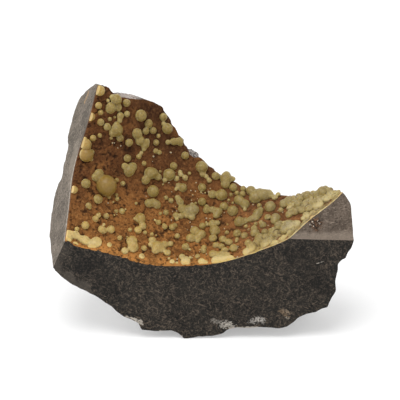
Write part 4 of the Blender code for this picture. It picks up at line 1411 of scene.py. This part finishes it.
class Nodes:
    """A little helper for building shader trees."""

    def __init__(self, name):
        self.m = bpy.data.materials.new(name)
        self.m.use_nodes = True
        self.t = self.m.node_tree
        self.b = self.t.nodes["Principled BSDF"]
        self.co = self.t.nodes.new("ShaderNodeTexCoord").outputs["Object"]

    def feed(self, socket, v):
        if isinstance(v, bpy.types.NodeSocket):
            self.t.links.new(v, socket)
        else:
            socket.default_value = v

    def turned(self, stretch=None, turn=None, w=None):
        """Object coordinates turned, then drawn out along the turned axes."""
        if not (stretch or turn or w):
            return self.co
        mp = self.t.nodes.new("ShaderNodeMapping")
        mp.vector_type = 'TEXTURE'
        if w:
            mp.inputs["Location"].default_value = (w * 0.01, w * 0.007, -w * 0.013)
        if turn:
            mp.inputs["Rotation"].default_value = [math.radians(a) for a in turn]
        if stretch:
            mp.inputs["Scale"].default_value = stretch
        self.t.links.new(self.co, mp.inputs["Vector"])
        return mp.outputs["Vector"]

    def noise(self, size_mm, detail=3.0, rough=0.55, dist=0.0, w=None, stretch=None, turn=None):
        n = self.t.nodes.new("ShaderNodeTexNoise")
        n.inputs["Scale"].default_value = 1000.0 / size_mm
        n.inputs["Detail"].default_value = detail
        n.inputs["Roughness"].default_value = rough
        n.inputs["Distortion"].default_value = dist
        self.t.links.new(self.turned(stretch, turn, w), n.inputs["Vector"])
        return n.outputs["Fac"]

    def voronoi(self, size_mm, feature='F1', out="Distance", rand=1.0):
        n = self.t.nodes.new("ShaderNodeTexVoronoi")
        n.feature = feature
        n.inputs["Scale"].default_value = 1000.0 / size_mm
        n.inputs["Randomness"].default_value = rand
        self.t.links.new(self.co, n.inputs["Vector"])
        return n.outputs[out]

    def span(self, x, a, b, lo=0.0, hi=1.0, smooth=False):
        n = self.t.nodes.new("ShaderNodeMapRange")
        if smooth:
            n.interpolation_type = 'SMOOTHSTEP'
        n.clamp = True
        self.feed(n.inputs["Value"], x)
        n.inputs["From Min"].default_value = a
        n.inputs["From Max"].default_value = b
        n.inputs["To Min"].default_value = lo
        n.inputs["To Max"].default_value = hi
        return n.outputs["Result"]

    def math(self, op, a, b=0.0):
        n = self.t.nodes.new("ShaderNodeMath")
        n.operation = op
        self.feed(n.inputs[0], a)
        self.feed(n.inputs[1], b)
        return n.outputs[0]

    def vec(self, op, a, b=None, out=0):
        n = self.t.nodes.new("ShaderNodeVectorMath")
        n.operation = op
        self.feed(n.inputs[0], a)
        if b is not None:
            self.feed(n.inputs[1], b)
        return n.outputs[out]

    def mix(self, fac, a, b, kind='MIX'):
        n = self.t.nodes.new("ShaderNodeMix")
        n.data_type = 'RGBA'
        n.blend_type = kind
        n.clamp_factor = True
        self.feed(n.inputs[0], fac)
        self.feed(n.inputs[6], a if isinstance(a, bpy.types.NodeSocket) else (*a, 1.0))
        self.feed(n.inputs[7], b if isinstance(b, bpy.types.NodeSocket) else (*b, 1.0))
        return n.outputs[2]

    def attribute(self, name):
        n = self.t.nodes.new("ShaderNodeAttribute")
        n.attribute_name = name
        return n.outputs["Fac"]

    def bump(self, height, strength, distance_mm, below=None):
        n = self.t.nodes.new("ShaderNodeBump")
        n.inputs["Strength"].default_value = strength
        n.inputs["Distance"].default_value = distance_mm * MM
        self.feed(n.inputs["Height"], height)
        if below is not None:
            self.feed(n.inputs["Normal"], below)
        return n.outputs["Normal"]

    def near(self, spot, reach_mm, ragged=0.0, grain_mm=2.0):
        """1 at a spot, 0 past its reach, with a ragged edge."""
        d = self.vec('DISTANCE', self.co, spot, out=1)
        d = self.math('MULTIPLY', d, 1000.0 / reach_mm)
        if ragged:
            d = self.math('ADD', d, self.span(self.noise(grain_mm, 3.0, 0.65), 0.25, 0.75,
                                              -ragged, ragged))
        return self.span(d, 1.0, 0.55, 0.0, 1.0, True)

    def stroke(self, a, b, width_mm, ragged=0.5, grain_mm=1.5):
        """1 along a line from a to b, 0 past its width, broken up a little."""
        a, b = Vector(a), Vector(b)
        ab = b - a
        rel = self.vec('SUBTRACT', self.co, tuple(a))
        t = self.math('MULTIPLY', self.vec('DOT_PRODUCT', rel, tuple(ab), out=1),
                      1.0 / ab.length_squared)
        t = self.span(t, 0.0, 1.0)
        foot = self.t.nodes.new("ShaderNodeVectorMath")
        foot.operation = 'SCALE'
        foot.inputs[0].default_value = ab
        self.feed(foot.inputs["Scale"], t)
        d = self.vec('DISTANCE', rel, foot.outputs[0], out=1)
        d = self.math('MULTIPLY', d, 1000.0 / width_mm)
        d = self.math('ADD', d, self.span(self.noise(grain_mm, 2.0, 0.6), 0.3, 0.7,
                                          -ragged, ragged))
        return self.span(d, 1.0, 0.4, 0.0, 1.0, True)

    def done(self, colour, rough, normal=None, view=None):
        self.feed(self.b.inputs["Base Color"], colour)
        self.feed(self.b.inputs["Roughness"], rough)
        if normal is not None:
            self.feed(self.b.inputs["Normal"], normal)
        if view:
            self.m.diffuse_color = (*view, 1)
        return self.m


def basalt_ground(k, dark, mid, brown, light, grain_mm, needles, blotch=9.0):
    """Fine-grained basalt: dark ground, brown specks, pale needles each way."""
    ground = k.mix(k.span(k.noise(blotch, 3.0, 0.6), 0.36, 0.64), dark, mid)
    speck = k.noise(grain_mm, 4.0, 0.75, 0.5)
    ground = k.mix(k.span(speck, 0.50, 0.66), ground, brown)
    deep = k.noise(grain_mm * 0.9, 3.0, 0.7, 0.3, w=7.0)
    ground = k.mix(k.span(deep, 0.46, 0.33, 0.0, 0.9), ground, tuple(0.30 * c for c in dark))
    for i, (turn, amount) in enumerate(needles):
        lath = k.noise(0.75, 2.0, 0.55, 0.8, w=11.0 + 5 * i, stretch=(3.6, 1.0, 1.0), turn=turn)
        ground = k.mix(k.span(lath, 0.60, 0.70, 0.0, amount), ground, light)
    h = k.math('ADD', k.math('MULTIPLY', speck, 0.7), k.math('MULTIPLY', deep, 0.9))
    k.b.inputs["Specular IOR Level"].default_value = 0.12
    return ground, k.bump(h, 0.6, 0.16)


def basalt_front_shaded():
    k = Nodes("basalt_front_shaded")
    needles = [((0, 25, 0), 0.55), ((0, 80, 0), 0.50), ((0, -40, 0), 0.50)]
    # The saw faces share one basalt recipe at different brightness: the front is painted much
    # darker than the left face and the bevel, partly its own tone, partly painted shade for a
    # face turned from the light.
    c, n = basalt_ground(k, (0.0082, 0.0078, 0.0069), (0.0165, 0.0150, 0.0126),
                         (0.072, 0.056, 0.042), (0.135, 0.103, 0.077), 1.15, needles, 7.0)
    # a dull lighter bruise at the lower left, a darker blot over it
    pale = k.stroke(place(53, 266), place(86, 290), 4.2, 0.5, 4.0)
    c = k.mix(k.math('MULTIPLY', pale, 0.60), c, (0.068, 0.058, 0.048))
    pale = k.stroke(place(60, 258), place(66, 246), 4.0, 0.5, 4.0)
    c = k.mix(k.math('MULTIPLY', pale, 0.35), c, (0.060, 0.051, 0.042))
    blot = k.near(place(83, 266), 6.5, 0.5, 4.0)
    c = k.mix(k.math('MULTIPLY', blot, 0.55), c, (0.007, 0.0066, 0.0062))
    for a, b, w in (((92, 262), (112, 288), 6.0), ((297, 256), (322, 286), 8.0)):
        dim = k.stroke(place(*a), place(*b), w, 0.35, 5.0)
        c = k.mix(k.math('MULTIPLY', dim, 0.38), c, (0.0062, 0.0057, 0.0050))
    crumb = k.span(k.noise(0.9, 3.0, 0.7, 0.0, w=31.0), 0.40, 0.60, 0.25, 1.0)
    for a, b, w, amount, pale in (
            ((222, 325.5), (232.5, 326.5), 1.9, 0.85, (0.40, 0.37, 0.32)),
            ((225, 323), (230, 324), 1.5, 0.75, (0.42, 0.39, 0.34)),
            ((213.5, 320.5), (219.5, 322.5), 1.3, 0.55, (0.33, 0.30, 0.26)),
            ((252, 321.5), (261, 319.5), 1.7, 0.80, (0.38, 0.355, 0.32)),
            ((258, 318.5), (262.5, 322), 1.3, 0.75, (0.42, 0.39, 0.35)),
            ((281.5, 311), (287.5, 316.5), 1.2, 0.60, (0.24, 0.165, 0.100)),
            ((284.5, 310.5), (290, 313.5), 0.9, 0.65, (0.32, 0.240, 0.165)),
            ((286, 317.5), (288.5, 318.5), 0.7, 0.60, (0.30, 0.270, 0.225))):
        smear = k.stroke(place(*a), place(*b), w, 0.85, 1.1)
        c = k.mix(k.math('MULTIPLY', k.math('MULTIPLY', smear, crumb), amount), c, pale)
    for a, b, w in (((126, 316.5), (142, 321.5), 0.75), ((132, 318), (143, 325), 0.6),
                    ((160, 331.3), (182, 337), 0.75), ((229, 328.3), (258, 327.2), 0.55),
                    ((316.5, 263.8), (323.5, 261.5), 0.26)):
        line = k.stroke(place(*a), place(*b), w, 0.6, 1.4)
        c = k.mix(k.math('MULTIPLY', line, 0.8), c, (0.38, 0.34, 0.29))
    return k.done(c, 0.62, n, (0.05, 0.046, 0.04))


def basalt_left_lit():
    k = Nodes("basalt_left_lit")
    needles = [((0, 80, 20), 0.65), ((0, 60, -30), 0.6), ((0, 100, 0), 0.6)]
    # Painted much lighter than the front face of the same basalt: partly its own tone, partly
    # painted light for a face turned to the light.
    c, n = basalt_ground(k, (0.098, 0.083, 0.067), (0.175, 0.147, 0.120),
                         (0.074, 0.058, 0.043), (0.31, 0.265, 0.215), 1.1, needles)
    streak = k.noise(1.0, 3.0, 0.65, 0.2, stretch=(1.0, 1.0, 7.0), turn=(0, -8, 0))
    c = k.mix(k.span(streak, 0.44, 0.32, 0.0, 0.5), c, (0.052, 0.043, 0.034))
    low = k.stroke(place(84, 118, LEFT_N, LEFT_P), place(86, 134, LEFT_N, LEFT_P), 5.0, 0.5, 3.0)
    c = k.mix(k.math('MULTIPLY', low, 0.45), c, (0.052, 0.045, 0.037))
    mid = k.stroke(place(76, 148, LEFT_N, LEFT_P), place(70, 182, LEFT_N, LEFT_P), 5.5, 0.4, 5.0)
    c = k.mix(k.math('MULTIPLY', mid, 0.42), c, (0.270, 0.228, 0.182))
    tan = k.stroke(place(88.5, 92, LEFT_N, LEFT_P), place(84.5, 102, LEFT_N, LEFT_P),
                   1.1, 0.5, 1.5)
    c = k.mix(k.math('MULTIPLY', tan, 0.7), c, (0.36, 0.23, 0.12))
    rim = [(p[0] - 0.9, p[1]) for p in LEFT_RIM]
    for a, b in zip(rim[:6], rim[1:7]):
        edge = k.stroke(place(*a, LEFT_N, LEFT_P), place(*b, LEFT_N, LEFT_P), 0.55, 0.5, 1.5)
        c = k.mix(k.math('MULTIPLY', edge, 0.50), c, (0.50, 0.45, 0.39))
    return k.done(c, 0.72, n, (0.2, 0.18, 0.16))


def basalt_facet_lit():
    k = Nodes("basalt_facet_lit")
    needles = [((0, 0, 5), 0.6), ((0, 15, 0), 0.55), ((0, -20, 0), 0.5)]
    # Browner, and painted lighter than the front face of the same basalt: partly its own tone,
    # partly painted light for a face tilted up to the light.
    c, n = basalt_ground(k, (0.066, 0.050, 0.038), (0.118, 0.091, 0.070),
                         (0.045, 0.032, 0.023), (0.225, 0.180, 0.140), 1.05, needles)
    band = k.stroke(place(296, 236.5, FACET_N, FACET_P), place(350, 237.5, FACET_N, FACET_P),
                    3.6, 0.4, 5.0)
    c = k.mix(k.math('MULTIPLY', band, 0.42), c, (0.24, 0.195, 0.155))
    hollow = k.near(place(315.5, 224, FACET_N, FACET_P), 3.9, 0.45, 1.6)
    crumb = k.noise(1.7, 3.0, 0.7, 0.4, w=3.0)
    rusty = k.mix(k.span(crumb, 0.44, 0.60), (0.009, 0.006, 0.004), (0.115, 0.060, 0.032))
    c = k.mix(k.math('MULTIPLY', hollow, 0.95), c, rusty)
    bits = k.math('MULTIPLY', k.near(place(314.5, 222.5, FACET_N, FACET_P), 3.4, 0.5, 2.0),
                  k.span(k.noise(1.0, 2.0, 0.6, w=9.0), 0.60, 0.66))
    c = k.mix(bits, c, (0.46, 0.40, 0.33))
    return k.done(c, 0.70, n, (0.13, 0.11, 0.09))


def basalt_broken():
    k = Nodes("basalt_broken")
    needles = [((0, 20, 40), 0.5), ((0, 75, 10), 0.5)]
    c, n = basalt_ground(k, (0.042, 0.039, 0.034), (0.072, 0.066, 0.057),
                         (0.105, 0.083, 0.058), (0.17, 0.150, 0.122), 1.2, needles, 16.0)
    rust = k.noise(22.0, 4.0, 0.6, 0.3, w=13.0)
    c = k.mix(k.span(rust, 0.58, 0.74, 0.0, 0.45), c, (0.120, 0.072, 0.036))
    return k.done(c, 0.85, n, (0.06, 0.055, 0.05))


def basalt_ledge():
    k = Nodes("basalt_ledge")
    needles = [((0, 0, 20), 0.5)]
    c, n = basalt_ground(k, (0.31, 0.265, 0.235), (0.43, 0.375, 0.34),
                         (0.22, 0.175, 0.150), (0.56, 0.51, 0.47), 1.3, needles)
    grey = k.near(place(193, 153.5, FRONT_N, wall([(193, 153.5)])[0][0]), 9.0)
    c = k.mix(k.math('MULTIPLY', grey, 0.85), c,
              k.mix(k.span(k.noise(0.9, 3.0, 0.7, w=4.0), 0.44, 0.56), (0.050, 0.045, 0.042),
                    (0.32, 0.295, 0.275)))
    return k.done(c, 0.8, n, (0.33, 0.29, 0.26))


def ochre_look():
    k = Nodes("ochre_crust")
    warmth_and_shade, rose, pit_depth_and_shade, painted_front_light, skin, dim = (k.attribute(a) for a in (
        "warmth_and_shade", "rose", "pit_depth_and_shade", "painted_front_light", "skin", "dim"))
    # The lining's base colour follows warmth_and_shade, which carries painted shade along the
    # left rim.
    base = k.mix(warmth_and_shade, (0.094, 0.036, 0.0125), (0.225, 0.092, 0.024))
    # Painted shade over the upper part of the lining.
    base = k.mix(k.math('MULTIPLY', dim, 0.80), base, (0.044, 0.0175, 0.0075))
    base = k.mix(k.math('MULTIPLY', rose, 0.75), base, (0.158, 0.067, 0.028))
    # Painted light on the lining along the front rim.
    base = k.mix(k.math('MULTIPLY', painted_front_light, 0.90), base, (0.385, 0.168, 0.044))
    blot = k.noise(13.0, 5.0, 0.68, 0.6)
    base = k.mix(k.span(blot, 0.47, 0.64, 0.0, 0.62), base, (0.040, 0.0155, 0.006))
    base = k.mix(k.span(blot, 0.44, 0.32, 0.0, 0.40), base, (0.31, 0.135, 0.038))
    bright = k.noise(1.5, 4.0, 0.75, 0.5)
    base = k.mix(k.span(bright, 0.50, 0.64, 0.0, 0.62), base,
                 k.mix(warmth_and_shade, (0.185, 0.085, 0.032), (0.42, 0.20, 0.062)))
    base = k.mix(k.span(k.noise(1.2, 3.0, 0.7, 0.3, w=5.0), 0.47, 0.36, 0.0, 0.70), base,
                 (0.024, 0.009, 0.004))
    # More painted shade over the upper part of the lining.
    base = k.mix(k.math('MULTIPLY', dim, 0.38), base, (0.024, 0.010, 0.005))
    # The pits are painted near black: painted shade in the hollows of the crust.
    base = k.mix(k.math('MULTIPLY', pit_depth_and_shade, 0.85), base, (0.016, 0.007, 0.0035))
    base = k.mix(skin, base, (0.46, 0.33, 0.155))
    n = k.bump(bright, 0.5, 0.14)
    k.b.inputs["Specular IOR Level"].default_value = 0.08
    return k.done(base, 0.85, n, (0.235, 0.12, 0.05))


def calcite_look():
    k = Nodes("calcite")
    rise, honey_and_painted_light, cream, tone, ring, cut, white, amber_, crease, lit = (
        k.attribute(a) for a in ("rise", "buff_and_painted_light", "cream", "tone", "ring", "cut", "white",
                                 "amber", "crease", "lit"))
    # Each ball is painted darker and browner at its base, where it sits in the crust, and lighter
    # on top, by its height over the crust (rise): painted shade at the base, painted light on
    # top.
    deep = k.mix(cream, (0.085, 0.050, 0.011), (0.145, 0.095, 0.030))
    # honey_and_painted_light: the honey colour of the left edge and lower left, partly the balls'
    # own, partly painted light.
    deep = k.mix(honey_and_painted_light, deep, (0.135, 0.072, 0.015))
    top = k.mix(cream, (0.186, 0.127, 0.026), (0.216, 0.166, 0.064))
    top = k.mix(honey_and_painted_light, top, (0.375, 0.250, 0.070))
    top = k.mix(k.math('MULTIPLY', tone, 0.55), top, (0.350, 0.262, 0.092))
    up = k.span(rise, 0.0, 0.24, 0.0, 1.0, True)
    c = k.mix(up, deep, top)
    # painted_rim_glow: a paler band part way up each ball, a painted glow at the balls' rims.
    painted_rim_glow = k.math('MULTIPLY', k.span(rise, 0.05, 0.20), k.span(rise, 0.72, 0.34))
    c = k.mix(k.math('MULTIPLY', painted_rim_glow, k.span(tone, 0.0, 1.0, 0.50, 0.75)), c,
              k.mix(honey_and_painted_light, (0.49, 0.395, 0.175), (0.59, 0.450, 0.190)))
    cloud = k.noise(3.4, 3.0, 0.55, 0.3)
    c = k.mix(k.span(cloud, 0.44, 0.70, 0.0, 0.38), c, (0.30, 0.232, 0.085))
    c = k.mix(k.span(k.noise(5.5, 2.0, 0.5, 0.0, w=9.0), 0.50, 0.70, 0.0, 0.35), c,
              (0.150, 0.092, 0.020))
    fleck = k.noise(0.85, 3.0, 0.65, 0.0, w=4.0)
    c = k.mix(k.span(fleck, 0.52, 0.66, 0.0, 0.28), c, (0.45, 0.360, 0.160))
    c = k.mix(k.span(fleck, 0.47, 0.35, 0.0, 0.42), c, (0.115, 0.074, 0.019))
    # crease_shade_colour: the folds between merged balls painted dark, painted shade in the
    # creases.
    crease_shade_colour = k.mix(honey_and_painted_light, k.mix(cream, (0.070, 0.042, 0.010), (0.135, 0.090, 0.030)),
                 (0.200, 0.110, 0.022))
    c = k.mix(k.math('MULTIPLY', crease, 0.80), c, crease_shade_colour)
    c = k.mix(k.math('MULTIPLY', lit, 0.60), c, (0.56, 0.41, 0.150))
    c = k.mix(k.math('MULTIPLY', amber_, 0.75), c, (0.190, 0.104, 0.014))
    band = k.math('SINE', k.math('MULTIPLY', ring, 26.0))
    sawn = k.mix(k.span(band, -1.0, 1.0), (0.47, 0.308, 0.090), (0.585, 0.430, 0.165))
    pale = k.mix(k.span(band, -1.0, 1.0), (0.40, 0.290, 0.125), (0.50, 0.390, 0.190))
    dark = k.mix(k.span(band, -1.0, 1.0), (0.20, 0.118, 0.022), (0.34, 0.230, 0.065))
    c = k.mix(cut, c, k.mix(amber_, k.mix(cream, sawn, pale), dark))
    c = k.mix(white, c, (0.38, 0.30, 0.19))
    skin = k.noise(0.6, 2.0, 0.6)
    n = k.bump(skin, 0.28, 0.07)
    b = k.b
    b.inputs["Subsurface Weight"].default_value = 0.45
    b.inputs["Subsurface Radius"].default_value = (1.0, 0.72, 0.26)
    b.inputs["Subsurface Scale"].default_value = 0.0013
    b.inputs["Specular IOR Level"].default_value = 0.27
    b.inputs["IOR"].default_value = 1.55
    return k.done(c, 0.44, n, (0.50, 0.43, 0.20))

# -------------------------------------------------------------- putting it up
TO_ROW = Matrix.Scale(MM, 4) @ Matrix.Translation(Vector(ORIGIN_SHIFT))


def finish_piece(name, me, mats, replaced=(), sharp=None, zone=None):
    me.transform(TO_ROW)
    set_co(me, np.clip(co_of(me), CAD_LO, CAD_HI))
    me.name = name
    me.materials.clear()
    for m in mats:
        me.materials.append(m)
    if zone is not None:
        me.polygons.foreach_set("material_index", np.asarray(zone, np.int32))
    me.shade_smooth()
    if sharp is not None:
        me.set_sharp_from_angle(angle=math.radians(sharp))
    ob = link(name, me)
    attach(ob, "root")
    if replaced:
        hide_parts(*replaced)
    return ob


def paint_stone(me):
    """Gives each face of the rock its surface: the saw cuts, the ledge, the breaks."""
    n = len(me.polygons)
    c = np.empty(n * 3, np.float32)
    me.polygons.foreach_get("center", c)
    c = c.reshape(-1, 3).astype(float)
    w = np.empty(n * 3, np.float32)
    me.polygons.foreach_get("normal", w)
    w = w.reshape(-1, 3).astype(float)
    zone = np.full(n, 3)
    q, d = sheet_squares(c)
    wp, _ = wall(q)
    shallow = ((c - wp) * d).sum(1) < 8.8
    zone[shallow & (inside(LEDGE_ZONE, q) | inside(KNOB_ZONE, q)) & (-(w * d).sum(1) > 0.2)] = 4
    zone[(w @ FRONT_N > 0.999) & (np.abs(c @ FRONT_N + 0.04) < 0.02)] = 0
    zone[(w @ LEFT_N > 0.999) & (np.abs((c - LEFT_P) @ LEFT_N + 0.04) < 0.02)] = 1
    zone[(w @ FACET_N > 0.999) & (np.abs((c - FACET_P) @ FACET_N + 0.04) < 0.02)] = 2
    return zone


def relief_on_cuts(me):
    """Saw faces aren't quite flat: small dents, grain and pores, sunk inwards."""
    co = co_of(me)
    depth = 0.035 * (1 + fbm(co, 14.0, 2, 0.5, 81)) + 0.030 * (1 + fbm(co, 1.6, 2, 0.6, 83))
    pn, _, pt = cells(co / 4.2, 85)
    pore = np.where(((pt >> 4) & 255) / 255.0 < 0.30,
                    1 - ramp(pn * 4.2, 0.25, 0.75), 0.0) * 0.40
    for n, p, x_from in ((FRONT_N, ORIGIN, None), (LEFT_N, LEFT_P, None), (FACET_N, FACET_P, 25)):
        s = (co - np.asarray(p)) @ n + 0.04
        on = np.abs(s) < 0.004
        if x_from is not None:
            on &= co[:, 0] > x_from
        co = co - np.outer(np.where(on, np.clip(depth, 0, 0.2) + pore, 0.0), n)
    set_co(me, co)


rock_me = stone()
zone = paint_stone(rock_me)
relief_on_cuts(rock_me)
rock = finish_piece("basalt_rock", rock_me,
                    [basalt_front_shaded(), basalt_left_lit(), basalt_facet_lit(), basalt_broken(),
                     basalt_ledge()], ["basalt_matrix"], 38, zone)
ochre_me = lining()
ochre = finish_piece("ochre_crust", ochre_me, [ochre_look()], ["ochre_lining"], 60)
calcite_mat = calcite_look()
done, loose, grains = calcite()


def tris_of(me):
    return sum(len(p.vertices) - 2 for p in me.polygons)


def gather(name, meshes):
    """Several meshes as one, with their attributes kept."""
    obs = [link("g", me) for me in meshes]
    with bpy.context.temp_override(active_object=obs[0], object=obs[0],
                                   selected_objects=obs, selected_editable_objects=obs):
        bpy.ops.object.join()
    me = obs[0].data
    bpy.data.objects.remove(obs[0])
    me.name = name
    return me


total = tris_of(rock_me) + tris_of(ochre_me)
for me, names in done:
    total += tris_of(me)
    finish_piece(names[0], me, [calcite_mat], names, 50)
loose.sort(key=lambda me: co_of(me)[:, 0].mean())
for i in range(3):
    me = gather("beads", loose[i * len(loose) // 3:(i + 1) * len(loose) // 3])
    total += tris_of(me)
    finish_piece("calcite_beads_%d" % (i + 1), me, [calcite_mat], (), 50)
total += tris_of(grains)
finish_piece("calcite_grains", grains, [calcite_mat], (), 30)

# ------------------------------------------------------- floor, light, camera
PROFILE = [(0.0, 0.0), (0.6, 0.0), (1.2, 0.0), (2.4, 0.0)] + [
    (2.4 + 0.8 * math.sin(a), 0.8 - 0.8 * math.cos(a))
    for a in np.radians(np.arange(10, 91, 10))] + [(3.2, 1.8)]
spin = 96
v, f = [(0.0, 0.0, 0.0)], []
for r, z in PROFILE[1:]:
    v += [(r * math.cos(2 * math.pi * i / spin), r * math.sin(2 * math.pi * i / spin), z)
          for i in range(spin)]
for i in range(spin):
    j = (i + 1) % spin
    f.append((0, 1 + i, 1 + j))
    for ring in range(len(PROFILE) - 2):
        a, b = 1 + ring * spin, 1 + (ring + 1) * spin
        f.append((a + i, b + i, b + j, a + j))
floor_me = bpy.data.meshes.new("floor")
floor_me.from_pydata(v, [], f)
floor_me.update()
floor_me.shade_smooth()
floor = link("floor", floor_me)
fm = Nodes("floor")
fm.b.inputs["Specular IOR Level"].default_value = 0.1
far = fm.span(fm.vec('LENGTH', fm.co, out=1), 0.30, 1.6, 0.34, 0.62, True)
fm.b.inputs["Emission Color"].default_value = (1.0, 1.0, 1.0, 1)
fm.feed(fm.b.inputs["Emission Strength"], far)
floor_me.materials.append(fm.done((0.62, 0.62, 0.62, 1), 0.95))

world = bpy.data.worlds.new("studio")
bpy.context.scene.world = world
world.use_nodes = True
world.node_tree.nodes["Background"].inputs[0].default_value = (1.0, 1.0, 1.0, 1)
world.node_tree.nodes["Background"].inputs[1].default_value = 0.70


def lamp(name, where, aim, size, power, colour=(1, 1, 1)):
    l = bpy.data.lights.new(name, 'AREA')
    l.shape = 'DISK'
    l.size = size
    l.energy = power
    l.color = colour
    o = bpy.data.objects.new(name, l)
    bpy.context.scene.collection.objects.link(o)
    o.location = where
    o.rotation_euler = (Vector(aim) - Vector(where)).to_track_quat('-Z', 'Y').to_euler()
    return o


lamp("key_soft", (-0.15, -0.30, 0.95), (0, 0, 0.06), 0.55, 6.0)
lamp("left_soft", (-0.80, -0.25, 0.55), (0, 0, 0.06), 0.80, 1.6)

cam = bpy.data.cameras.new("camera")
cam.sensor_width = 36.0
cam.lens = 126.0
cam.clip_start = 0.01
cam.clip_end = 20.0
camera = bpy.data.objects.new("camera", cam)
bpy.context.scene.collection.objects.link(camera)
target = (SHEET + SHIFT) * MM
camera.location = (EYE + SHIFT) * MM
camera.rotation_euler = Vector(TO_EYE).to_track_quat('Z', 'Y').to_euler()
bpy.context.scene.camera = camera

bpy.context.scene.view_settings.view_transform = 'Standard'

bpy.context.view_layer.update()
